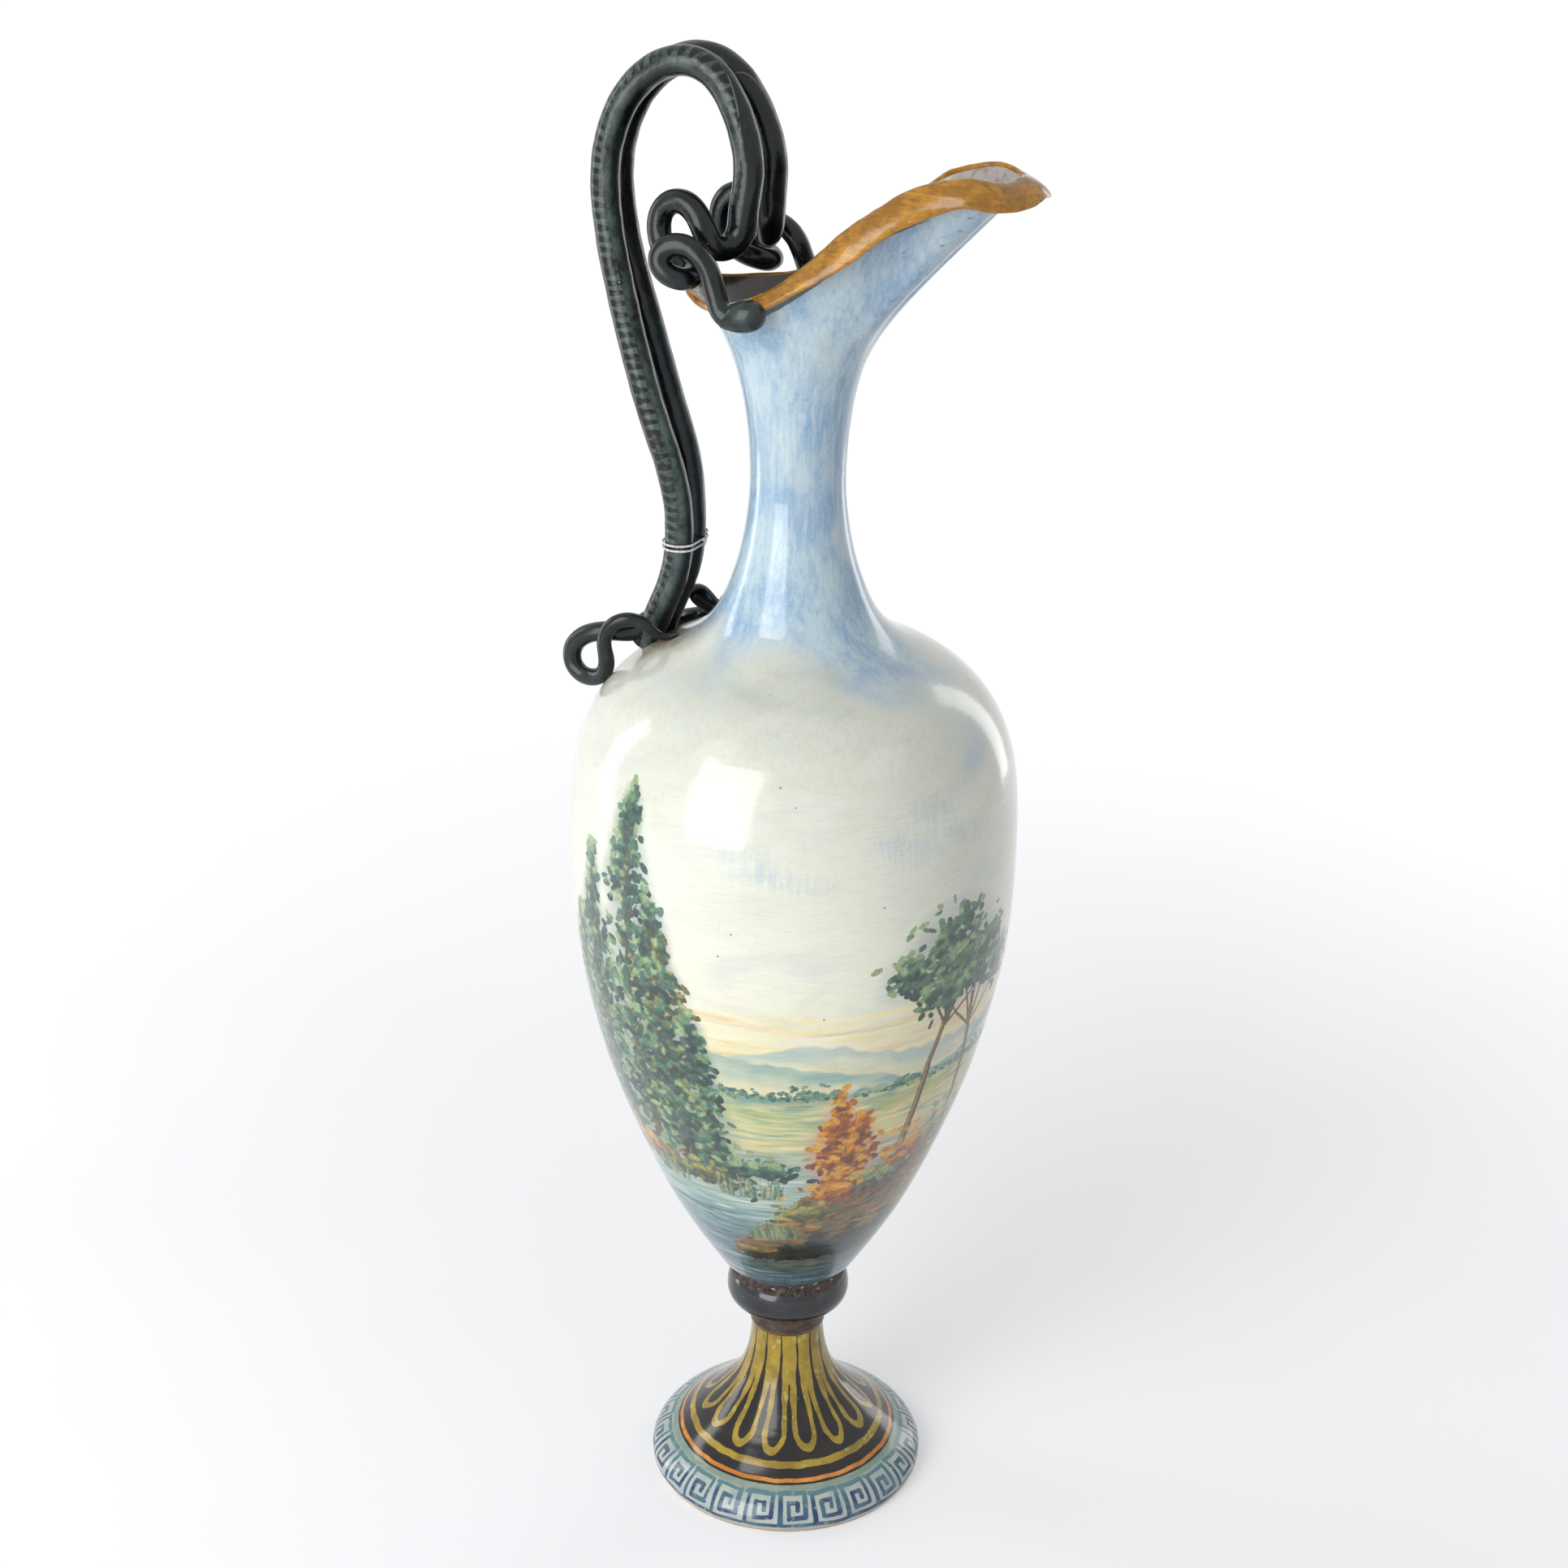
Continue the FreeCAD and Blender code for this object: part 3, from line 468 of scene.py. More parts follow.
# Colour of the ground by height in mm, from the dark water at the foot to the pale sky
GROUND = [
    (134, (46, 80, 100)), (150, (56, 94, 114)), (168, (78, 118, 132)), (186, (108, 144, 150)),
    (205, (130, 164, 160)), (228, (142, 174, 164)), (250, (168, 190, 160)), (268, (208, 204, 156)),
    (290, (216, 210, 160)), (306, (234, 222, 164)), (326, (238, 232, 192)), (350, (236, 236, 214)),
    (390, (230, 232, 216)), (440, (222, 224, 209)), (478, (214, 216, 201)), (503, (208, 210, 196)),
    (522, (204, 208, 198)), (640, (170, 192, 206)),
]


def paint_ground(c):
    turn, s = c.turn[None, :], c.s[:, None]
    z = c.z[:, None] + 0 * turn
    shifted = z + 5 * waves(turn, s, 1) + 3 * waves(turn, s, 2, 9, (3, 20), (8, 40))
    colors = np.array([linear(*k) for _, k in GROUND])
    for channel in range(3):
        c.wash[..., channel] = np.interp(shifted, [h for h, _ in GROUND], colors[:, channel])


def paint_sky(c):
    whites = [(236, 238, 228), (232, 234, 222), (226, 229, 218)]
    greys = [(206, 214, 208), (202, 212, 210), (214, 214, 200), (198, 208, 210)]
    warm = [(244, 228, 160), (248, 234, 186), (236, 212, 158), (234, 204, 170), (246, 238, 206)]
    sweep(c, 420, (345, 506), (10, 42), (3.5, 11), 0.5, (whites, greys), (0.08, 0.26))
    sweep(c, 330, (298, 345), (9, 40), (0.8, 2.6), 0.06, warm, (0.25, 0.7))


def paint_neck(c):
    turn = c.turn[None, :]
    z = c.z[:, None] + 0 * turn
    lower = np.exp(-(((turn - FRONT - 0.75) / 0.45) ** 2))
    edge = 515 + 7 * waves(turn, 0 * turn, 3, 6, (2, 9)) - 26 * lower
    c.veil[:] = np.clip((z - edge) / 30 + 0.5, 0, 1)
    for _ in range(70):
        z = rng.uniform(415, 506)
        c.brush(around(), c.at(z), rng.uniform(22, 60), rng.uniform(7, 20),
                rng.uniform(-0.7, 0.7), None, rng.uniform(0.06, 0.22))
    # slip that has run from the serpents' tails
    slip = [(150, 130, 92), (120, 102, 72), (172, 152, 112)]
    for x, y, z, _ in near_tail[1::2] + far_tail[1::2]:
        for _ in range(5):
            c.brush(math.atan2(y, x) + rng.normal(0, 0.10), c.at(min(z, 512)) + rng.normal(-3, 6),
                    rng.uniform(7, 18), rng.uniform(4, 8), rng.uniform(-0.6, 0.6),
                    pick(slip), rng.uniform(0.10, 0.34))


def paint_ridges(c):
    """Hills one before the other, each fading to mist at its foot."""
    turn, s = c.turn[None, :], c.s[:, None]
    z = c.z[:, None] + 0 * turn
    for seed, base, swell, top, foot, depth in (
            (21, 322, 7, (182, 200, 192), (226, 224, 192), 20),
            (22, 311, 6, (146, 178, 168), (214, 216, 182), 18),
            (23, 298, 6, (116, 156, 146), (206, 210, 160), 18),
            (24, 284, 5, (150, 176, 124), (222, 212, 150), 16)):
        crest = base + swell * waves(turn, 0 * turn, seed, 6, (2, 9))
        crest = crest + 1.2 * waves(turn, 0 * turn, seed + 50, 8, (14, 60))
        mist = 0.25 * waves(turn, s, seed + 9, 6, (3, 20), (8, 40))
        fade = np.clip((crest - z) / depth + mist, 0, 1)
        color = linear(*top) + (linear(*foot) - linear(*top)) * fade[..., None]
        share = np.clip((crest - z) / 1.2 + 0.5, 0, 1)
        share = (share * np.clip(1.15 - (crest - z) / (depth * 1.6), 0, 1))[..., None]
        c.wash[:] = c.wash * (1 - share) + color * share


def paint_meadow(c):
    fields = [(226, 210, 140), (232, 218, 156), (160, 184, 130), (126, 166, 138), (238, 230, 190),
              (196, 190, 120), (110, 152, 140), (214, 182, 118)]
    lake = [(84, 134, 142), (64, 114, 124), (200, 214, 206), (132, 170, 168), (170, 196, 186),
            (100, 146, 136), (222, 226, 206)]
    deep = [(40, 76, 100), (30, 62, 86), (64, 106, 126), (96, 136, 150), (156, 184, 190),
            (50, 90, 92), (34, 70, 80)]
    sweep(c, 900, (252, 296), (5, 26), (0.5, 1.5), 0.08, fields, (0.25, 0.75))
    sweep(c, 1100, (196, 256), (6, 30), (0.45, 1.5), 0.05, lake, (0.3, 0.8))
    sweep(c, 1300, (132, 204), (6, 26), (0.4, 1.4), 0.07, deep, (0.3, 0.8))


def far_trees(c):
    tones = [(72, 116, 112), (96, 142, 132), (58, 98, 98), (120, 156, 132), (140, 166, 120)]
    for centre, width, height, count in (
            (-62, 16, 7, 70), (-20, 12, 6, 60), (2, 17, 9, 110), (34, 9, 6, 46), (62, 18, 9, 100),
            (100, 20, 8, 90), (135, 12, 7, 60), (170, 22, 9, 110), (-100, 20, 8, 100),
            (-135, 14, 10, 80)):
        for _ in range(count):
            off = rng.normal(0, 0.5)
            lift = abs(rng.normal(0, 1)) * height * 0.5 * math.exp(-off * off)
            c.dab(FRONT + math.radians(centre + off * width), c.at(294) + lift + rng.uniform(-1, 1),
                  rng.uniform(1.0, 2.2), rng.uniform(0.7, 1.3), rng.uniform(-0.5, 0.5), pick(tones))


TEAL = [(24, 58, 60), (34, 76, 74), (50, 96, 88), (74, 118, 98), (110, 148, 110), (158, 182, 132)]
OLIVE = [(58, 62, 34), (84, 88, 44), (112, 114, 56), (146, 142, 70), (178, 168, 92)]
AUTUMN = [(112, 56, 30), (150, 70, 40), (172, 92, 24), (206, 126, 22), (222, 148, 30),
          (234, 174, 58)]
BARK = [(66, 50, 30), (92, 72, 42), (118, 94, 56), (48, 38, 26)]
STEM = [(70, 52, 34), (100, 76, 48), (172, 128, 78)]
SHADOW = [(26, 22, 16), (40, 34, 22), (34, 44, 38)]
EARTH = [(118, 92, 48), (150, 112, 50), (184, 134, 52), (96, 78, 44), (132, 118, 60), (160, 92, 44),
         (104, 98, 52)]


def leaves(c, x, y, spread_x, spread_y, count, tones, size=1.0):
    """A clump on a soft underlay: shaded dabs low on its right, light ones high on its left."""
    turn, s = c.home
    c.brush(turn + x / c.radius(s + y), s + y, spread_x + 4, spread_y + 4, 0,
            0.75 * linear(*tones[2]) + 0.25, rng.uniform(0.2, 0.45))
    marks = []
    for _ in range(int(count * 0.62)):
        a, b = rng.normal(0, 0.42, 2)
        marks.append(((b - a * 0.5) * 0.9 + rng.normal(0, 0.25), a, b))
    for light, a, b in sorted(marks):
        index = int(np.clip((light + 0.6) / 1.3 * len(tones), 0, len(tones) - 1))
        color = np.clip(linear(*tones[index]) * rng.uniform(0.85, 1.15), 0, 1)
        up = s + y + b * spread_y
        c.dab(turn + (x + a * spread_x) / c.radius(up), up, rng.uniform(1.6, 3.2) * size,
              rng.uniform(1.0, 1.9) * size,
              rng.uniform(-0.9, 0.9) + math.pi / 2 * (rng.random() < 0.25), color,
              rng.uniform(0.7, 0.95))


def limb(c, points, start, end, tones):
    """A tapered line, drawn dark on one side and light on the other."""
    radii = np.linspace(start, end, len(points))
    c.stroke(points, radii, linear(*tones[0]))
    lit = [(x - r * 0.35, y) for (x, y), r in zip(points, radii)]
    c.stroke(lit, radii * 0.45, linear(*tones[2]))


def poplar(c, degrees, base, height, width, tones=TEAL):
    c.stand(degrees, base)
    sway = rng.uniform(-6, 6)
    limb(c, [(0, 0), (sway * 0.3, height * 0.3), (sway * 0.7, height * 0.65),
             (sway, height * 0.95)], width * 0.085, 0.5, BARK)
    for level in np.linspace(0.14, 0.98, int(height / 9)):
        swell = math.sin(math.pi * min(1, (level * 0.9 + 0.12))) ** 0.7
        reach = width * swell * rng.uniform(0.75, 1.2) * 0.5
        for side in (-1, 0, 1):
            if side and rng.random() < 0.30:
                continue
            if side and reach > 2.5:
                c.stroke([(sway * level, height * (level - 0.05)),
                          (sway * level + side * reach * 0.55, height * level)],
                         [0.6, 0.4], linear(*BARK[1]))
            leaves(c, sway * level + side * reach * 0.6 + rng.normal(0, 1.4), height * level,
                   reach * 0.95 + 3, 11, 20, tones, 1.15)


def pine(c, degrees, base, height, lean, wide=1.0):
    """An umbrella pine: a bare leaning stem under a flat crown."""
    c.stand(degrees, base)
    stem = [(0, 0), (lean * 0.25, height * 0.25), (lean * 0.45, height * 0.5),
            (lean, height * 0.82)]
    limb(c, stem, 2.2 * wide, 1.1 * wide, STEM)
    for x, y in ((-20, 0.86), (-10, 0.95), (12, 0.93), (21, 0.84), (2, 1.0)):
        c.stroke([(lean * 0.8, height * 0.66), (lean + x * 0.55 * wide, height * (y - 0.09)),
                  (lean + x * wide, height * y)], [1.0, 0.7, 0.4], linear(*BARK[1]))
    for x, y, w, h in ((-19, 0.86, 17, 8), (-8, 0.97, 19, 10), (9, 0.96, 19, 10), (20, 0.85, 16, 8),
                       (0, 1.04, 22, 10), (-2, 0.9, 20, 7), (24, 0.93, 13, 7), (-24, 0.92, 13, 7)):
        leaves(c, lean + x * wide, height * y, w * wide, h * wide, int(70 * wide), TEAL, 1.1)


def shrub(c, degrees, base, wide, tall, count, tones, size=1.0):
    c.stand(degrees, base)
    for _ in range(max(3, count // 16)):
        x = rng.uniform(-0.5, 0.5) * wide
        c.stroke([(x * 0.25, 0), (x * 0.7, tall * 0.5), (x, tall * rng.uniform(0.7, 1.1))],
                 [0.6, 0.45, 0.3], linear(*BARK[rng.integers(3)]))
    leaves(c, 0, tall * 0.6, wide, tall, count, tones, size)


def reeds(c, degrees, base, width, count):
    c.stand(degrees, base)
    tones = [(96, 130, 104), (130, 156, 110), (70, 104, 92), (170, 178, 120)]
    for _ in range(count):
        x = rng.uniform(-0.5, 0.5) * width
        tall = rng.uniform(7, 19)
        lean = rng.normal(0, 2)
        c.stroke([(x, 0), (x + lean * 0.4, tall * 0.6), (x + lean, tall)], [0.5, 0.4, 0.25],
                 pick(tones))


def bank(c, first, last, low, high, tip):
    """A stony bank from first to last degrees, tapering to its tip, with a dark foot."""
    for _ in range(3400):
        share = rng.random()
        degrees = first + (last - first) * share
        share = share if tip < 0 else 1 - share
        body = min(min(1, share * 2.6) ** 0.8, min(1, (1 - share) * 6))
        top = low + (high - low) * body
        top = top + 3 * math.sin(degrees * 0.21) + 2 * math.sin(degrees * 0.53)
        top = max(top, low + 3)
        z = rng.uniform(low, top)
        depth = (z - low) / (top - low) + 0.12 * math.sin(degrees * 0.37)
        if depth < 0.34:
            color = pick(SHADOW)
        elif depth > 0.84 and rng.random() < 0.6:
            color = pick(OLIVE)
        elif rng.random() < 0.22:
            color = pick(BARK)
        else:
            color = pick(EARTH)
        c.dab(FRONT + math.radians(degrees), c.at(z), rng.uniform(2.6, 8.0), rng.uniform(0.8, 2.2),
              rng.normal(0.12 if tip < 0 else -0.12, 0.35), color, 0.85)
    for _ in range(150):
        degrees = rng.uniform(first, last)
        c.brush(FRONT + math.radians(degrees), c.at(low - rng.uniform(0, 14)), rng.uniform(6, 18),
                rng.uniform(0.6, 1.6), 0, pick([(60, 70, 62), (84, 84, 60), (50, 66, 70)]),
                rng.uniform(0.3, 0.7))


# Plants in the order that they are painted: what, degrees from the front, height of the foot, and
# for a poplar its height, width and tones; a pine its height, lean and width; a shrub its width,
# height, count of leaves, tones and leaf size; reeds their width and count; a bank as bank() says.
PLANTS = [
    # left of the middle: tall poplars on a low meadow shore
    (shrub, -72, 238, 40, 18, 130, TEAL, 1.2), (shrub, -50, 238, 44, 18, 130, TEAL, 1.2),
    (shrub, -22, 238, 36, 13, 130, TEAL, 1.2), (shrub, -8, 238, 24, 9, 130, TEAL, 1.2),
    (poplar, -68, 244, 130, 22), (poplar, -59, 240, 176, 25), (poplar, -33, 240, 150, 22, OLIVE),
    (poplar, -47, 232, 226, 33), (poplar, -36, 228, 176, 27), (poplar, -24, 238, 104, 16),
    (shrub, -40, 226, 52, 17, 220, TEAL, 1.2), (shrub, -28, 226, 26, 12, 90, OLIVE),
    (shrub, -58, 228, 30, 14, 110, AUTUMN), (reeds, -14, 220, 36, 50), (reeds, -50, 220, 30, 34),
    # right: a bank that runs down to the middle, with pines, poplars and autumn shrubs
    (bank, -24, 100, 168, 238, -1), (pine, 36, 226, 158, 20, 1.3), (pine, 60, 236, 128, -12, 1.15),
    (poplar, 14, 214, 84, 20, AUTUMN), (poplar, 21, 220, 62, 15, AUTUMN),
    (shrub, 27, 216, 34, 18, 170, AUTUMN, 1.1), (shrub, 6, 204, 22, 10, 90, OLIVE, 1.1),
    (shrub, 46, 232, 40, 22, 200, AUTUMN, 1.15), (shrub, 34, 222, 22, 12, 100, TEAL, 1.1),
    (shrub, 68, 238, 42, 24, 220, TEAL, 1.2), (shrub, 82, 236, 30, 26, 150, AUTUMN, 1.1),
    (reeds, -6, 186, 24, 36),
    # round the back
    (bank, 150, 262, 184, 216, 1), (poplar, 112, 238, 118, 15), (poplar, 122, 240, 146, 18),
    (poplar, 131, 238, 100, 14), (poplar, 228, 216, 150, 19), (poplar, 240, 218, 120, 15),
    (pine, 178, 212, 124, 12), (pine, 196, 212, 92, -8), (shrub, 106, 234, 30, 14, 110, TEAL),
    (shrub, 137, 234, 30, 14, 110, OLIVE), (shrub, 168, 208, 30, 14, 110, AUTUMN),
    (shrub, 188, 208, 30, 14, 110, TEAL), (shrub, 208, 210, 30, 14, 110, AUTUMN),
    (shrub, 222, 212, 30, 14, 110, TEAL), (shrub, 250, 214, 30, 14, 110, OLIVE),
    (shrub, 262, 224, 30, 14, 110, AUTUMN), (shrub, 276, 238, 30, 14, 110, TEAL),
    (reeds, 146, 196, 26, 30), (reeds, 270, 220, 26, 30),
]


def paint_landscape(c):
    paint_ridges(c)
    paint_meadow(c)
    far_trees(c)
    for draw, *place in PLANTS:
        draw(c, *place)


# ---------------------------------------------------------------- thrown body

def hand_thrown(turn, z):
    """How far the wall of a thrown piece lies inside its true circle, in mm."""
    sway = 0.5 + 0.5 * np.sin(2 * turn + z / 90 + 0.6) * 0.6 + 0.2 * np.sin(3 * turn - z / 47)
    rings = 0.5 + 0.5 * np.sin(z / 2.9 + 1.4 * np.sin(z / 17) + 0.8 * np.sin(turn + z / 60))
    return 0.02 + 0.22 * np.clip(sway, 0, 1) + 0.05 * rings


def make_body():
    floor_inside, floor_hole = 158.0, 146.0  # lowest height of the wall's inside; of its floor
    wall = bvh("belly", "shoulder", "neck")
    outline = Outline(wall, BELLY_LOW, MOUTH_LOW, 2600)
    material = painted_glaze()
    # the inside walls are a dark grey-brown: painted shade of the hollow body
    inside = linear(108, 100, 88)
    for name, low, high, step, count in (("belly", BELLY_LOW, WIDEST, 0.85, 960),
                                         ("shoulder", WIDEST, NECK_LOW, 0.95, 960),
                                         ("neck", NECK_LOW, MOUTH_LOW, 0.9, 480)):
        c = Canvas(outline, low, high, step, count)
        paint_ground(c)
        # every canvas gets the same marks, so that they run across the seams
        for seed, paint in ((31, paint_sky), (32, paint_neck), (33, paint_landscape)):
            reseed(seed)
            paint(c)
        outer = turned(c.r[:, None] - hand_thrown(c.turn[None, :], c.z[:, None]), c.z, count)
        first = max(low, floor_inside)
        z_in = np.linspace(high, first, 26)
        r_in = radii_at(wall, np.clip(z_in, first + 0.02, high - 0.02), inside=True)
        if name == "belly":
            z_in = np.concatenate([z_in, [floor_hole, floor_hole, BELLY_LOW]])
            r_in = np.concatenate([r_in, [r_in[-1] - 16.0, HOLE, HOLE]])
        rows = len(z_in)
        ring_piece("painted_" + name, np.concatenate([outer, turned(r_in, z_in, count)]), material,
                   name,
                   {"wash": lined(c.wash, rows, inside), "ink": lined(c.ink, rows, inside),
                    "ink_gap": lined(c.gap, rows, NO_INK), "veil": lined(c.veil, rows, 0)})


# ---------------------------------------------------------------- foot

def foot_fields(r, s, count):
    """Signed distances in mm to the painted shapes of the foot, below 0 inside them."""
    turn = angles(count)[None, :]
    y = s[:, None] + 0 * turn
    wave_x = 0.35 * waves(turn, y, 61, 8, (5, 40), (14, 60))
    wave_y = 0.30 * waves(turn, y, 62, 8, (5, 40), (14, 60))
    dice = np.random.default_rng(5)
    # tongues
    tongues, ends = 15, 58  # how many, and the length up the foot where their round ends begin
    pitch = ROUND / tongues
    place = (turn - FRONT + math.radians(9.5)) / pitch
    index = np.floor(place + 0.5)
    shift = dice.normal(0, 1, (2, 64))
    k = (index.astype(int)) % tongues
    x = (place - index) * pitch * r[:, None] + wave_x + 0.35 * shift[0][k]
    h = y + wave_y + 0.7 * shift[1][k] * np.clip((80 - y) / 30, 0, 1)
    slot = np.interp(h, [58, 65, 75, 85, 95, 104, 116], [4.0, 3.4, 2.4, 1.35, 0.8, 0.6, 0.5])
    outer = np.interp(h, [58, 65, 72, 80, 85, 87, 116], [6.6, 6.1, 5.75, 5.5, 5.35, 9, 9])

    def drop(width, bottom):
        cap = (np.hypot(x / width, (h - ends) / (ends - bottom)) - 1) * width
        return np.where(h > ends, np.abs(x) - width, cap)

    # olive tongues with a dark slot, and an olive and an orange band below them
    olive = np.maximum(drop(outer, 46.4), -drop(slot, 51.2))
    olive = np.minimum(olive, np.abs(y + wave_y - 40.5) - 2.0)
    orange = np.abs(y + 0.6 * wave_y - 31.8) - 1.15
    # Greek key: count of its units, their height, the radius and the length up the foot where
    # they stand, and half the width of a stroke
    units, tall, radius, low, half = 24, 20.2, 73.0, 5.0, 1.22
    place = (turn - FRONT + math.radians(3.4)) * units / ROUND
    n = np.floor(place).astype(int) % units
    jx, jy, js = dice.normal(0, 1, (3, 64))
    wide = ROUND * radius / units
    u = (place - np.floor(place)) * wide + 0.5 * wave_x + 0.25 * jx[n]
    v = (y + 0.8 * wave_y - low) + 0.3 * jy[n]
    inward = [(0.0, 0.95), (0.83, 0.95), (0.81, 0.27), (0.33, 0.25), (0.32, 0.68), (0.60, 0.67),
              (0.59, 0.47)]
    runs = [((0.09, 0.04), (0.98, 0.03)), ((0.09, 0.04), (0.07, 0.95)), *zip(inward, inward[1:])]
    key = np.full(u.shape, 9.0)
    tone = np.zeros(u.shape)
    for i, (a, b) in enumerate(runs):
        ax, ay, bx, by = a[0] * wide, a[1] * tall, b[0] * wide, b[1] * tall
        long = math.hypot(bx - ax, by - ay)
        for shifted in (-wide, 0, wide):
            px, py = u - shifted - ax, v - ay
            t = np.clip((px * (bx - ax) + py * (by - ay)) / long ** 2, 0, 1)
            d = np.hypot(px - t * (bx - ax), py - t * (by - ay)) - (half + 0.2 * js[(n + i) % 64])
            tone = np.where(d < key, 0.5 + 0.5 * np.sin(i * 2.4 + n * 1.7 + 2 * t), tone)
            key = np.minimum(key, d)
    return {"olive": olive, "orange": orange, "key": key, "tone": tone}


def foot_glaze():
    s = Shade("foot_glaze")
    fine, broad = s.noise(900), s.noise(90, 4)
    rub = (fine - 0.5) * 0.7
    olive_share, orange_share, key = (
        (s.attr(name) + rub).step(0.22, -0.22) for name in ("olive", "orange", "key"))
    up = s.attr("up")
    ground = s.mix(broad.step(0.45, 0.68), (12, 9, 8), (34, 22, 16))
    olive = s.over(s.mix(broad.step(0.35, 0.65), (142, 118, 30), (174, 146, 46)),
                   (fine.step(0.5, 0.75) * 0.5, (122, 98, 28)),
                   (s.noise(160, 2, 0.55).step(0.60, 0.72) * 0.7, (190, 182, 88)))
    orange = s.mix(broad.step(0.4, 0.65), (192, 118, 30), (220, 146, 58))
    # rim: a green-grey band, then a pale ground with the key in blue
    low, soft = up + (broad - 0.5) * 9.0, up + (broad - 0.5) * 5.0
    pale = s.over(s.mix(broad.step(0.4, 0.7), (182, 190, 182), (158, 172, 170)),
                  (fine.step(0.52, 0.72) * 0.3, (200, 192, 172)),
                  (low.step(9.0, 3.0) * 0.6, (204, 192, 166)))
    green = s.mix(broad.step(0.4, 0.65), (128, 148, 134), (148, 164, 146))
    blue = s.over(s.mix(s.attr("tone"), (34, 56, 104), (62, 104, 122)),
                  (soft.step(17, 25), (88, 130, 134)),
                  (broad.step(0.45, 0.72) * 0.5, (104, 138, 150)))
    rim = s.over(s.mix(soft.step(23.5, 26.5), pale, green),
                 (key * s.noise(260).step(0.16, 0.46), blue))
    # bare and dirty at the bottom edge, and where the glaze has chipped
    bare = s.mix(broad.step(0.4, 0.65), (196, 180, 152), (140, 116, 88))
    edge = (up + (broad - 0.5) * 7.0).step(2.6, 1.4)
    color = s.over(ground, (olive_share, olive), (orange_share, orange),
                   ((up + rub).step(29.45, 29.05), rim), (edge, bare),
                   (s.attr("chip").step(0.15, 0.5), (206, 182, 150)),
                   (s.spots(170, (0.11, 0.06), (0.80, 0.84)) * 0.6, (150, 128, 98)))
    height = broad * 0.7 + olive_share * 0.35 + key * 0.25
    return s.finish(color, fine * 0.12 + 0.08 + edge * 0.45, height, 0.0002, 0.7,
                    Specular_IOR_Level=0.4, Coat_Weight=0.2, Coat_Roughness=0.1)


def make_foot():
    tree = bvh("foot")
    outline = Outline(tree, 0.0, FOOT_TOP, 900)
    r, z, s = outline.rows(0.0, FOOT_TOP, 0.6)
    count = 900
    turn = angles(count)[None, :]
    chips = waves(turn, s[:, None], 71, 12, (8, 60), (9, 30))
    chip = np.clip((chips - 1.5) * 1.6, 0, 1) * np.clip((7 - s) / 5, 0, 1)[:, None]
    outer = r[:, None] - 0.05 - 0.16 * (1 + np.sin(2 * turn + 1)) * 0.5 - 0.9 * chip
    roof, under = 84.0, 83.9  # of the hollow, and the highest ring of its wall
    z_in = np.linspace(under, 0.0, 60)
    r_in = radii_at(tree, np.clip(z_in, 0.05, under - 0.1), inside=True)
    r_in = np.concatenate([[HOLE, HOLE], r_in])
    z_in = np.concatenate([[FOOT_TOP, roof], z_in])
    fields = dict(foot_fields(r, s, count), chip=chip, up=s[:, None] + 0 * turn)
    bare = {"olive": NO_INK, "orange": NO_INK, "key": NO_INK, "tone": 0, "chip": 0, "up": -9}
    ring_piece("painted_foot", np.concatenate([turned(outer, z, count), turned(r_in, z_in, count)]),
               foot_glaze(), "foot",
               {key: lined(field, len(z_in), bare[key]) for key, field in fields.items()})


# ---------------------------------------------------------------- stem

def dark_glaze():
    s = Shade("dark_glaze")
    broad, fine = s.noise(70, 4, 0.6, (1, 1, 1.6)), s.noise(600)
    level = s.level() + (broad - 0.5) * 0.003
    color = s.over(s.mix(broad.step(0.36, 0.66), (11, 15, 19), (26, 38, 46)),
                   (broad.step(0.60, 0.72) * 0.5, (60, 84, 92)),
                   (fine.step(0.62, 0.74) * 0.3, (92, 84, 74)),
                   (level.step(0.1058, 0.1044), (46, 30, 22)),
                   (broad.step(0.56, 0.62) * level.step(0.117, 0.121), (64, 48, 40)))
    return s.finish(color, broad * 0.16 + 0.08, broad + fine * 0.12, 0.0005, 0.7,
                    Coat_Weight=0.35, Coat_Roughness=0.06)


def brown_glaze():
    s = Shade("brown_glaze")
    broad, fine = s.noise(110, 4, 0.6, (1, 1, 3)), s.noise(700)
    line = s.level().step(0.0945, 0.0936) * broad.step(0.36, 0.52)
    color = s.over(s.mix(broad.step(0.38, 0.66), (36, 23, 16), (84, 56, 38)),
                   (line * 0.35, (150, 112, 84)), (fine.step(0.6, 0.74) * 0.45, (120, 96, 84)))
    return s.finish(color, broad * 0.22 + 0.16, broad, 0.0005, 0.8,
                    Coat_Weight=0.15, Coat_Roughness=0.1)


def joint_compound():
    s = Shade("joint_compound")
    broad, fine = s.noise(230, 4, 0.65), s.noise(1300)
    color = s.over(s.mix(broad.step(0.4, 0.62), (38, 28, 24), (92, 76, 68)),
                   (s.attr("flake").step(0.25, 0.5),
                    s.mix(fine.step(0.4, 0.65), (206, 176, 158), (158, 120, 102))))
    return s.finish(color, broad * 0.4 + 0.42, broad + fine * 0.4, 0.0008, 0.9)


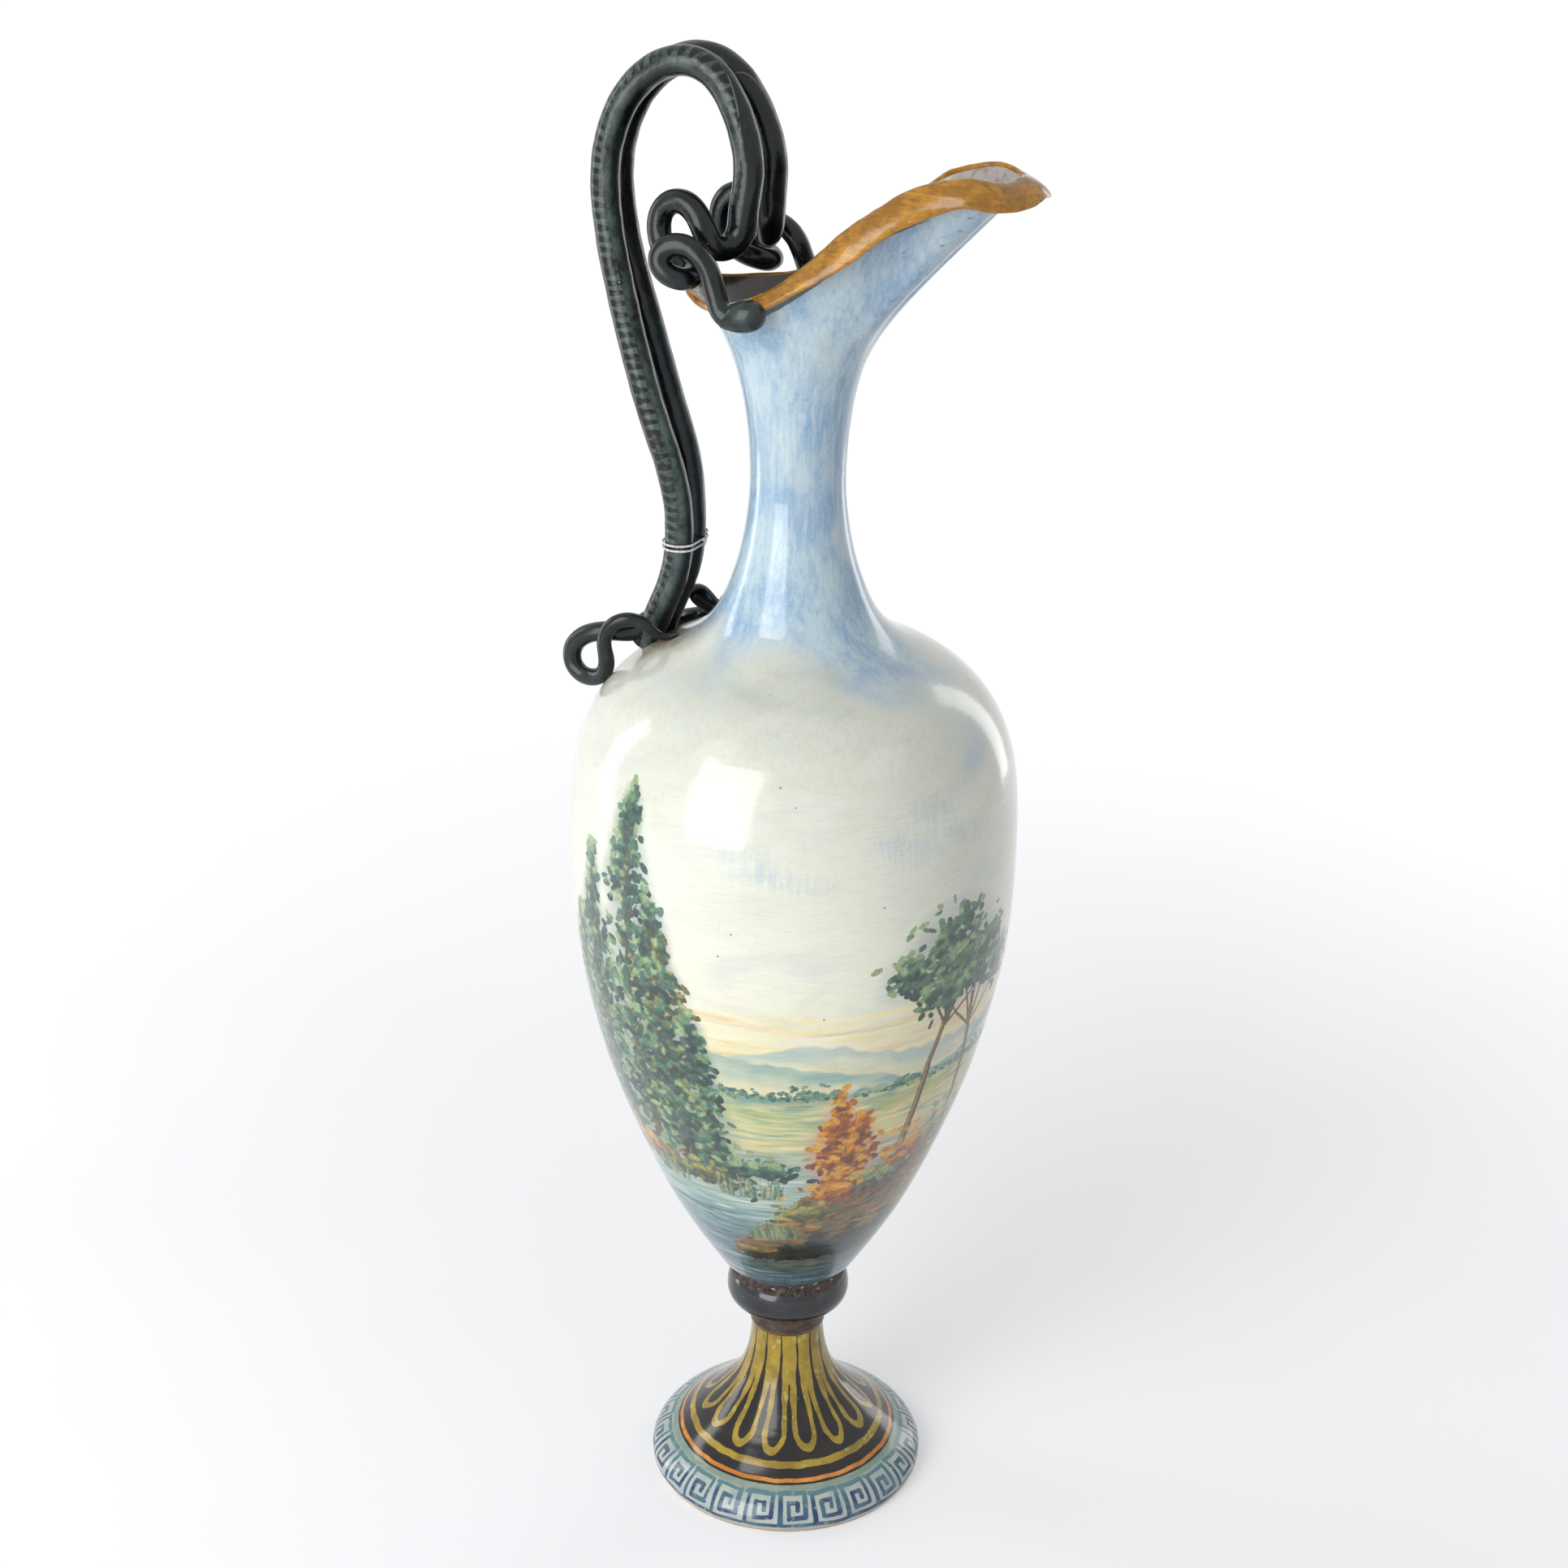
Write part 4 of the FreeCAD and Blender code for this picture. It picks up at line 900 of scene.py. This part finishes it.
def make_filler():
    """The joint between knop and body: a rough ring of compound with flakes that stand off it."""
    outline = Outline(bvh("joint_filler"), FILLER_LOW, BELLY_LOW, 120)
    r, z, s = outline.rows(FILLER_LOW, BELLY_LOW, 0.35)
    count = 620
    turn = angles(count)[None, :]
    grain = waves(turn, s[:, None], 81, 14, (10, 90), (3, 14))
    flake = np.clip((waves(turn, s[:, None], 82, 14, (3, 34), (3, 7)) - 0.85) * 1.6, 0, 1)
    fade = np.clip(np.minimum(s - s[0], s[-1] - s) / 0.8, 0, 1)[:, None]
    outer = r[:, None] - fade * (0.75 + 0.3 * np.clip(grain, -2, 2) - 0.6 * flake).clip(0.02, 2)
    hole = turned([HOLE, HOLE], [BELLY_LOW, FILLER_LOW], count)
    ring_piece("rough_joint_filler", np.concatenate([turned(outer, z, count), hole]),
               joint_compound(), "joint_filler", {"flake": lined(flake, 2, 0)})


def metal(name, pale, dull):
    s = Shade(name)
    broad = s.noise(240, 4)
    return s.finish(s.mix(broad.step(0.38, 0.66), pale, dull), broad * 0.35 + 0.2,
                    s.noise(500, 3, 0.6, (1, 1, 8)), 0.0003, 0.6, Metallic=1.0)


def leather(name):
    s = Shade(name)
    broad = s.noise(200, 4)
    return s.finish(s.mix(broad.step(0.38, 0.66), (96, 62, 38), (58, 38, 26)), broad * 0.2 + 0.6,
                    s.cells(900), 0.0004, 0.7)


def dress(node, material):
    mesh = nodes[node].data
    mesh.materials.clear()
    mesh.materials.append(material)


# ---------------------------------------------------------------- mouth and lip

# Half of the rim in mm, from the tip of the spout round the far side to the back: its ridge, its
# outer edge, and how steeply the wall leaves it, as a share of a right angle
RIDGE = np.array([
    (110, 0, 746.6), (109, 8, 745.5), (105.6, 15, 745.3), (99, 21, 746.6), (91.7, 25, 747.9),
    (79, 27.5, 745.9), (67, 31, 742), (55.4, 36, 734.5), (43.4, 40, 726), (31, 43, 715),
    (18, 45, 703.5), (1.9, 45, 692), (-14, 42, 685), (-30, 34, 680.5), (-42, 22, 680),
    (-48, 11, 680.5), (-50, 0, 681)])
EDGE = np.array([
    (121.5, 0, 739.7), (120.3, 9, 738.2), (115.1, 20, 736.4), (106, 28, 736.2), (95, 32, 737.9),
    (82, 34, 735), (70, 38, 730), (58.3, 43, 724), (46.3, 47, 714.6), (33.8, 50, 705),
    (20.4, 51, 697), (3, 50.5, 687), (-14, 48, 681), (-33, 38, 681), (-46, 25, 682),
    (-55, 12, 684), (-58.5, 0, 685)])
SLOPE = np.array([0.44, 0.47, 0.53, 0.62, 0.69, 0.73, 0.76, 0.78, 0.78,
                  0.78, 0.78, 0.78, 0.76, 0.67, 0.56, 0.51, 0.50])


def mirrored(rows):
    """Half rows on the far side, then their mirror images back to the first."""
    return np.concatenate([rows, rows[-2:0:-1] * np.array([1, -1, 1])])


def cubic(t, p, q, m, o):
    """A curve from p to q that leaves along m and arrives along o."""
    return (p * (2 * t**3 - 3 * t**2 + 1) + m * (t**3 - 2 * t**2 + t)
            + q * (3 * t**2 - 2 * t**3) + o * (t**3 - t**2))


def ring_spline(values, rows, count):
    """A smooth closed curve through values, at even steps of the length along a ring of rows."""
    along = lengths(np.concatenate([rows, rows[:1]]))
    n = len(values)
    width = np.diff(along)
    system = np.zeros((n, n))
    right = np.zeros_like(values)
    for i in range(n):
        a, b = width[i - 1], width[i]
        system[i, i - 1] += b
        system[i, i] += 2 * (a + b)
        system[i, (i + 1) % n] += a
        before, after = values[i] - values[i - 1], values[(i + 1) % n] - values[i]
        right[i] = 3 * (b * before / a + a * after / b)
    slope = np.linalg.solve(system, right)
    place = np.linspace(0, along[-1], count, endpoint=False)
    k = np.clip(np.searchsorted(along, place, side="right") - 1, 0, n - 1)
    t = ((place - along[k]) / width[k])[:, None]
    w = width[k][:, None]
    return cubic(t, values[k], values[(k + 1) % n], slope[k] * w, slope[(k + 1) % n] * w)


def unit(vectors):
    return vectors / np.linalg.norm(vectors, axis=-1)[..., None]


def half_tangents(points):
    return np.concatenate([[[0, 1, 0]], unit(points[2:] - points[:-2]), [[0, -1, 0]]])


def lip_glaze():
    s = Shade("lip_glaze")
    fine, broad = s.noise(800), s.noise(70, 4, 0.62)
    streak = s.noise(1, 4, 0.6, (60, 500, 500))
    chip = s.attr("chip")
    worn = s.attr("edge") + (fine - 0.5) * 0.8
    color = s.over(s.mix(broad.step(0.36, 0.64), (144, 95, 10), (186, 130, 22)),
                   (streak.step(0.50, 0.70) * 0.65, (100, 78, 20)),
                   (streak.step(0.46, 0.30) * 0.5, (202, 150, 44)),
                   (fine.step(0.62, 0.72) * 0.55, (92, 58, 20)),
                   (s.spots(210, (0.14, 0.08), (0.82, 0.86)) * 0.8, (52, 40, 26)),
                   (worn.step(0.66, 0.95) * 0.6, (172, 104, 34)),
                   (chip.step(0.12, 0.4), (208, 182, 138)))
    return s.finish(color, fine * 0.12 + 0.14 + chip * 0.4, broad * 0.9 + streak * 0.35, 0.0004,
                    0.8, Specular_IOR_Level=0.4, Coat_Weight=0.3, Coat_Roughness=0.08)


def make_lip():
    middle = (RIDGE + EDGE) / 2
    way = half_tangents(middle)
    across = EDGE - RIDGE
    past, thickness = 1.5, 2.7  # how far the roll goes past ridge and edge, and half its height
    half = np.linalg.norm(across, axis=1) / 2 + past
    across = unit(across - way * np.sum(across * way, axis=1)[:, None])
    thick = np.cross(way, across) * thickness
    # a mirrored row keeps its offsets, with y turned round
    stack = np.concatenate([mirrored(middle), mirrored(across * half[:, None]), mirrored(thick)], 1)
    count = 760
    dense = ring_spline(stack, mirrored(middle), count)
    c, a, t = dense[:, None, :3], dense[:, None, 3:6], dense[:, None, 6:]
    run = np.linspace(0, ROUND, count, endpoint=False)[:, None]
    ring = angles(48)[None, :]
    uneven = waves(run, 20 * ring, 91, 10, (6, 60), (12, 60))
    chips = waves(run, 20 * ring, 92, 12, (20, 110), (10, 40))
    outward = np.clip(np.cos(ring), 0, 1)
    chip = np.clip((chips - 1.75) * 1.8, 0, 1) * outward**2
    notch = np.exp(-((run - 0.12) / 0.018) ** 2) * outward**3
    shrink = 0.992 - 0.035 * np.clip(uneven * 0.5 + 0.5, 0, 1) - 0.22 * chip - 0.30 * notch
    rings = c + (a * np.cos(ring)[..., None] + t * np.sin(ring)[..., None]) * shrink[..., None]
    ring_piece("glazed_lip", rings, lip_glaze(), "rim_lip", {
        "chip": chip + 0.5 * notch, "edge": np.broadcast_to(np.cos(ring - 0.5), chip.shape)})


def mouth_glaze():
    """Blue brushed over white, mottled towards the spout, with a dark line under the lip. Inside it
    darkens towards the back: stain and painted shade.
    """
    s = Shade("mouth_glaze")
    fine, broad = s.noise(700), s.noise(26, 4)
    upright = s.noise(1, 4, 0.62, (420, 420, 26))
    mottle = s.noise(190, 4, 0.68, (1, 1, 0.7))
    spout = s.attr("spout")
    dash = s.spots(120, (0.20, 0.12), (0.62, 0.68), (1.0, 1.0, 2.4)) * spout.step(0.35, 0.75)
    under = s.attr("below") + (mottle - 0.5) * 2.4 - spout * 5.0
    line = under.step(6.8, 5.8) * spout.step(0.98, 0.8)
    blue = s.over(brushed_blue(s, fine, upright, broad),
                  (spout * mottle.step(0.52, 0.66) * 0.45, (104, 138, 178)),
                  (dash * 0.6, (58, 84, 116)), (line * 0.9, (44, 66, 62)))
    # inside: pale towards the spout and dark towards the back, stain and painted shade together;
    # mottled stain lies over both
    light = s.mix(broad.step(0.36, 0.64), (176, 168, 160), (142, 136, 128))
    deep = s.mix(broad.step(0.36, 0.64), (70, 62, 54), (38, 33, 29))
    stain_and_shade = s.mix(spout.step(0.05, 0.5), deep, light)
    stain_and_shade = s.mix(mottle.step(0.5, 0.66) * 0.5, stain_and_shade, (84, 74, 62))
    return s.finish(s.mix(s.attr("inside"), blue, stain_and_shade), fine * 0.14 + 0.14,
                    upright * 0.3 + mottle * 0.6, 0.0003, 0.7,
                    Coat_Weight=0.25, Coat_Roughness=0.08)


def make_mouth():
    """The wall sweeps from the neck's end out to the rim along a cubic in each half meridian."""
    wall, root = 5.0, 29.7  # thickness, and radius at the neck's end
    top = RIDGE + (EDGE - RIDGE) * 0.30
    along = lengths(top)
    turn = math.pi * along / along[-1]
    spoke = np.stack([np.cos(turn), np.sin(turn), 0 * turn], 1)
    foot = spoke * root + [0, 0, MOUTH_LOW]
    flare = unit(spoke * 0.20 + [0, 0, 1])
    way = half_tangents(top)
    outward = unit(np.stack([way[:, 1], -way[:, 0], 0 * turn], 1))
    rise = SLOPE[:, None] * math.pi / 2
    leave = outward * np.cos(rise) + np.array([0, 0, 1]) * np.sin(rise)
    pull = np.linalg.norm(top - foot, axis=1)[:, None]
    start, end = flare * pull * 0.84, leave * pull * 0.90
    share = np.linspace(0, 1, 130)
    count = 420
    outer = np.array([ring_spline(mirrored(cubic(k, foot, top, start, end)), mirrored(top), count)
                      for k in share])
    normal = np.cross(np.roll(outer, -1, 1) - np.roll(outer, 1, 1), np.gradient(outer, axis=0))
    normal[0, :, 2] = 0
    normal = unit(normal)
    steps = np.linalg.norm(np.diff(outer, axis=0), axis=2)
    below = np.concatenate([np.cumsum(steps[::-1], 0)[::-1], np.zeros((1, count))])
    t = np.arctan2(outer[..., 1], outer[..., 0])
    uneven = 0.05 + 0.12 * (1 + np.sin(3 * t + outer[..., 2] / 23)) * share[:, None]
    inner = (outer - normal * wall)[::-1][::3]
    outer = outer - normal * uneven[..., None]
    rings = np.concatenate([outer, inner])
    # how far the lip's lower edge comes down each meridian
    edge = ring_spline(mirrored(EDGE), mirrored(EDGE), count)
    nearest = np.argmin(np.linalg.norm(outer - edge[None], axis=2), axis=0)
    reach = below[nearest, np.arange(count)]
    ring_piece("brushed_mouth", rings, mouth_glaze(), "mouth", {
        "below": lined(below - reach - 1.2, len(inner), 30),
        "spout": np.clip((rings[..., 0] - 10) / 70, 0, 1),
        "inside": lined(0 * below, len(inner), 1)})


# ---------------------------------------------------------------- serpents

SCUTE = 5.5  # length of a scute in mm
AROUND = 72  # points round a roll


class Spline:
    """Cubic curve drawn by guide points, with clamped ends and even knots."""

    def __init__(self, points):
        self.poles = np.asarray(points, float)
        n = len(self.poles)
        self.last = n - 3
        self.knots = np.concatenate([[0] * 3, np.arange(n - 2), [n - 3] * 3]).astype(float)
        self.marks = np.array([self.knots[i + 1:i + 4].mean() for i in range(n)])

    def __call__(self, t):
        t = np.clip(t, 0, self.last - 1e-9)
        span = np.floor(t).astype(int) + 3
        d = [self.poles[span - 3 + k].copy() for k in range(4)]
        for level in range(1, 4):
            for k in range(3, level - 1, -1):
                low = self.knots[span - 3 + k]
                high = self.knots[span + 1 + k - level]
                share = ((t - low) / (high - low))[:, None]
                d[k] = (1 - share) * d[k - 1] + share * d[k]
        return d[3]


def carried(normal, way):
    """A direction square to each step of a line, turned as little as can be between them."""
    normals = []
    for w in way:
        normal = unit(normal - w * normal.dot(w))
        normals.append(normal)
    return np.array(normals)


def sections(line, normals, way, phi, radius):
    """Rings of points round a line, with a radius for each."""
    across = np.cross(way, normals)
    return line[:, None] + (normals[:, None] * np.cos(phi)[:, None]
                            + across[:, None] * np.sin(phi)[:, None]) * radius[..., None]


def tube(points, radii, first, last, spacing=0.8):
    """Centre line, radius, section directions and the length along a roll."""
    curve = Spline(points)
    t = np.linspace(curve.marks[first], curve.marks[last], 4000)
    run = lengths(curve(t))
    place = np.linspace(0, run[-1], int(run[-1] / spacing) + 2)
    t = np.interp(place, run, t)
    line = curve(t)
    way = unit(np.gradient(line, axis=0))
    normals = carried(np.array([0.0, 1.0, 0.0]), way)
    return line, np.interp(t, curve.marks, radii), way, normals, place


def turned_from(direction, way, normals, phi):
    """Angle round the roll from a fixed direction, for each point of each section."""
    zero = np.arctan2(np.cross(way, normals) @ direction, normals @ direction)[:, None]
    return (phi - zero + math.pi) % ROUND - math.pi


def serpent_glaze(name, marked=True):
    """Near-black green glaze. Where marked: scutes between pale rungs, a painted highlight and
    light edges.
    """
    s = Shade(name)
    fine, broad, large = s.noise(800, 3, 0.62), s.noise(85, 4, 0.62), s.noise(26)
    color = s.over(s.mix(broad.step(0.38, 0.66), (7, 11, 14), (20, 30, 31)),
                   (large.step(0.50, 0.66) * 0.55, (36, 50, 46)),
                   (fine.step(0.58, 0.76) * 0.3, (66, 78, 72)))
    height = broad * 1.2 + fine * 0.15
    if marked:
        side = s.attr("side") + (broad - 0.5) * 0.5
        run = s.attr("run") + (large - 0.5) * 9.0 + side * 1.1
        beat = (run.math("DIVIDE", SCUTE).math("FRACT") - 0.5).math("ABSOLUTE")
        width = (side + 0.6) * 0.16 + 0.12
        inside = side.step(-0.62, -0.52) * side.step(0.64, 0.50)
        scute = s.mix(broad.step(0.35, 0.65), (6, 9, 12), (14, 20, 24))
        rung = (beat - width).step(0.045, -0.045) * inside * s.noise(150, 3, 0.7).step(0.30, 0.58)
        # painted highlight: a pale band round the roll beyond the ladder, on the side turned up
        # towards the light
        highlight_band = side.step(0.46, 0.80) * side.step(1.5, 0.95) * broad.step(0.30, 0.66)
        edge = (s.attr("side") + 0.66).math("ABSOLUTE").step(0.07, 0.03) * broad.step(0.36, 0.5)
        seam = s.attr("seam").math("ABSOLUTE").step(0.085, 0.035) * broad.step(0.32, 0.48)
        color = s.over(color, (inside * 0.8, scute), (rung * 0.62, (86, 106, 96)),
                       (highlight_band * 0.7, (90, 106, 98)), (edge * 0.5, (130, 138, 122)),
                       (seam * 0.45, (150, 148, 128)))
        height = height - rung * 0.25
    else:
        color = s.over(color, (broad.step(0.42, 0.60) * 0.6, (50, 66, 64)))
    dots = s.spots(190, (0.13, 0.07), (0.84, 0.87))
    return s.finish(s.mix(dots * 0.8, color, (158, 164, 152)), broad * 0.22 + 0.12, height,
                    0.0006, 0.6, Specular_IOR_Level=0.3, Coat_Weight=0.15, Coat_Roughness=0.08)


def make_roll(name, node, points, radii, first, last, hand, material, ladder=False):
    """One length of a serpent, between two of its guide points, with or without its ladder."""
    line, radius, way, normals, place = tube(points, radii, first, last)
    phi = angles(AROUND)
    run = place[:, None] + 0 * phi
    side = turned_from((-0.25, 0.75 * hand, 1.0), way, normals, phi)
    seam = turned_from((0.9, 0.0, -0.8), way, normals, phi)
    rolled = waves(phi, run, 100 + len(name), 9, (1, 5), (14, 90))
    inward = 0.10 + 0.13 * np.clip(rolled, -1, 1)
    if ladder:
        scutes = 0.5 + 0.5 * np.cos(ROUND * (run + 1.1 * side) / SCUTE)
        inward = inward + scutes**3 * np.clip(1.2 - np.abs(side) / 0.5, 0, 1) * 0.16
        # the marks run out before the roll goes into its coil
        share = np.clip((run - place[-1] + 70) / 60, 0, 1)
        side = side + 0.9 * share * np.where(side < 0, -1, 1)
    else:
        side = seam = np.full(side.shape, 2.4)
    rings = sections(line, normals, way, phi, radius[:, None] - np.clip(inward, 0.01, 0.8))
    ring_piece(name, rings, material, node,
               {"run": run, "side": side, "seam": seam}, closed=False)


def make_serpents():
    material = serpent_glaze("serpent_glaze")
    plain = serpent_glaze("serpent_head_glaze", False)
    for label, hand, points, tail in (("near", -1, near_roll, near_tail),
                                      ("far", 1, far_roll, far_tail)):
        tail = np.array(tail)
        make_roll("glazed_body_" + label, "serpent_body_" + label, points, roll_radii,
                  0, COIL_START, hand, material, ladder=True)
        make_roll("glazed_coil_" + label, "serpent_neck_coil_" + label, points, roll_radii,
                  COIL_START, len(points) - 1, hand, material)
        make_roll("glazed_tail_" + label, "serpent_tail_" + label, tail[:, :3], tail[:, 3],
                  0, len(tail) - 1, hand, material)
        dress("serpent_head_" + label, plain)


# ---------------------------------------------------------------- thread

def cotton():
    s = Shade("white_thread")
    ply = s.attr("ply")
    # painted shade: the white is greyed in the grooves between the plies
    color = s.over(s.mix(s.noise(400).step(0.36, 0.64), (238, 238, 232), (214, 212, 204)),
                   (ply.step(0.45, 0.1) * 0.5, (160, 158, 150)))
    return s.finish(color, 0.85, ply + s.noise(5200, 3, 0.7) * 0.6, 0.0002, 0.8, Sheen_Weight=0.4)


def strand(points):
    """Rings of a two-ply strand along a line of points in mm, and the shade of its plies."""
    spacing, twist, core, swell = 0.22, 2.6, 0.44, 0.155  # swell: how far a ply stands out
    points = np.asarray(points, float)
    run = lengths(points)
    place = np.linspace(0, run[-1], int(run[-1] / spacing))
    line = np.stack([np.interp(place, run, points[:, k]) for k in range(3)], 1)
    for k in range(3):
        line[2:-2, k] = np.convolve(line[:, k], np.ones(5) / 5, "valid")
    way = unit(np.gradient(line, axis=0))
    normals = carried(np.array([0.0, 0.0, 1.0] if abs(way[0][2]) <= 0.9 else [1.0, 0.0, 0.0]), way)
    phi = angles(18)
    plies = np.abs(np.cos(phi - place[:, None] * math.pi / twist))
    return sections(line, normals, way, phi, core + swell * plies), plies


def make_thread():
    level, x = 547.4, -62.13  # where the turns lie
    reach, span, climb = 8.4, 15.3, 2.6  # radius of their ends, length of their sides, and rise
    arc = math.pi * reach
    lap = 2 * span + 2 * arc
    points = []
    for d in np.arange(0, 2 * lap, 0.3):
        e = d % lap
        hand = 1 if e < span + arc else -1
        e = e % (span + arc)
        if e < span:
            p = (reach, span / 2 - e)
        else:
            a = (e - span) / reach
            p = (reach * math.cos(a), -span / 2 - reach * math.sin(a))
        points.append((x + hand * p[0], hand * p[1], level + climb * d / lap))
    # the end goes down over the turns and is tucked into a small knot
    knot = Vector((x + reach + 1.5, span / 2 - 5.0, level + 2.4))
    tie = [(knot.x + 0.5 * math.cos(3 * k), knot.y + 1.35 * (math.sin(k) + 0.8 * math.sin(2 * k)),
            knot.z + 1.35 * (math.cos(k) - 0.8 * math.cos(2 * k)))
           for k in np.linspace(0, ROUND, 90)]
    material = cotton()
    for name, line in (("cotton_thread", points), ("cotton_knot", tie)):
        rings, ply = strand(line)
        ring_piece(name, rings, material, "thread_tie", {"ply": ply}, closed=False)


# ---------------------------------------------------------------- build

make_body()
make_foot()
make_filler()
make_lip()
make_mouth()
make_serpents()
make_thread()
dress("knop", dark_glaze())
dress("collar", brown_glaze())
brass = metal("brass", (176, 136, 66), (112, 84, 44))
for part in ("tie_rod", "tie_nuts", "tie_washers"):
    dress(part, brass)
dress("tie_gaskets", leather("gasket_leather"))


# ---------------------------------------------------------------- stage

def white_share(s):
    """1 where a ray comes from the camera, or by way of metal or glass."""
    camera, glossy, clear = (s.node("LightPath", out=ray) for ray in (
        "Is Camera Ray", "Is Glossy Ray", "Is Transmission Ray"))
    return camera.math("MAXIMUM", glossy).math("MAXIMUM", clear)


def floor_material():
    """White paper that still takes the shadow. Part of what is seen of it is its own light."""
    s = Shade("floor")
    color = s.mix(s.noise(2.2, 3, 0.5).step(0.35, 0.65), (220, 220, 222), (217, 217, 220))
    away = s.node("VectorMath", {0: s.coords((1, 1, 0))}, "Value", operation="LENGTH")
    glow = away.step(0.15, 2.0) * 0.36 + 0.31
    return s.finish(color, 0.9, Emission_Color=(255, 255, 255),
                    Emission_Strength=white_share(s) * glow)


def make_floor():
    size = 60.0
    mesh = bpy.data.meshes.new("floor")
    mesh.from_pydata([(-size, -size, 0), (size, -size, 0), (size, size, 0), (-size, size, 0)], [],
                     [(0, 1, 2, 3)])
    mesh.materials.append(floor_material())
    floor = bpy.data.objects.new("floor", mesh)
    scene.collection.objects.link(floor)


def softbox(name, azimuth, elevation, distance, wide, tall, power):
    aim = Vector((0, 0, 0.45))
    a, e = math.radians(azimuth), math.radians(elevation)
    way = Vector((math.cos(a) * math.cos(e), math.sin(a) * math.cos(e), math.sin(e)))
    at = aim + distance * way
    light = bpy.data.lights.new(name, "AREA")
    light.shape = "RECTANGLE"
    light.size, light.size_y, light.energy = wide, tall, power
    lamp = bpy.data.objects.new(name, light)
    scene.collection.objects.link(lamp)
    lamp.location = at
    lamp.rotation_euler = (aim - at).to_track_quat("-Z", "Y").to_euler()


def make_world(strength):
    """An even light of its own strength, which is seen as near white."""
    scene.world = bpy.data.worlds.new("studio")
    s = Shade("studio", scene.world)
    s.tree.nodes.clear()
    light = s.node("Background", {"Strength": strength, "Color": [0.97, 0.98, 1.0]})
    seen = s.node("Background", {"Color": [0.96, 0.96, 0.97]})
    out = s.tree.nodes.new("ShaderNodeOutputWorld")
    s.put(out.inputs[0], s.node("MixShader", {0: white_share(s), 1: light, 2: seen}))


def make_camera():
    data = bpy.data.cameras.new("camera")
    data.lens = 60.0
    data.sensor_width = 36.0
    data.shift_x = -0.00656
    camera = bpy.data.objects.new("camera", data)
    scene.collection.objects.link(camera)
    camera.matrix_world = (
        Matrix.Translation(Vector((0.4674, -1.1744, 0.9587)))
        @ Matrix.Rotation(math.radians(21.7), 4, "Z")
        @ Matrix.Rotation(math.radians(90 - 22.94), 4, "X")
        @ Matrix.Rotation(math.radians(0.73), 4, "Z"))
    scene.camera = camera


make_floor()
make_camera()
softbox("key", -106, 19, 1.9, 1.15, 1.9, 30)
softbox("left_strip", -176, 6, 1.6, 0.26, 1.6, 5.5)
softbox("back_strip", 66, 10, 1.8, 0.4, 1.6, 4.5)
make_world(0.48)
scene.view_settings.view_transform = "Standard"
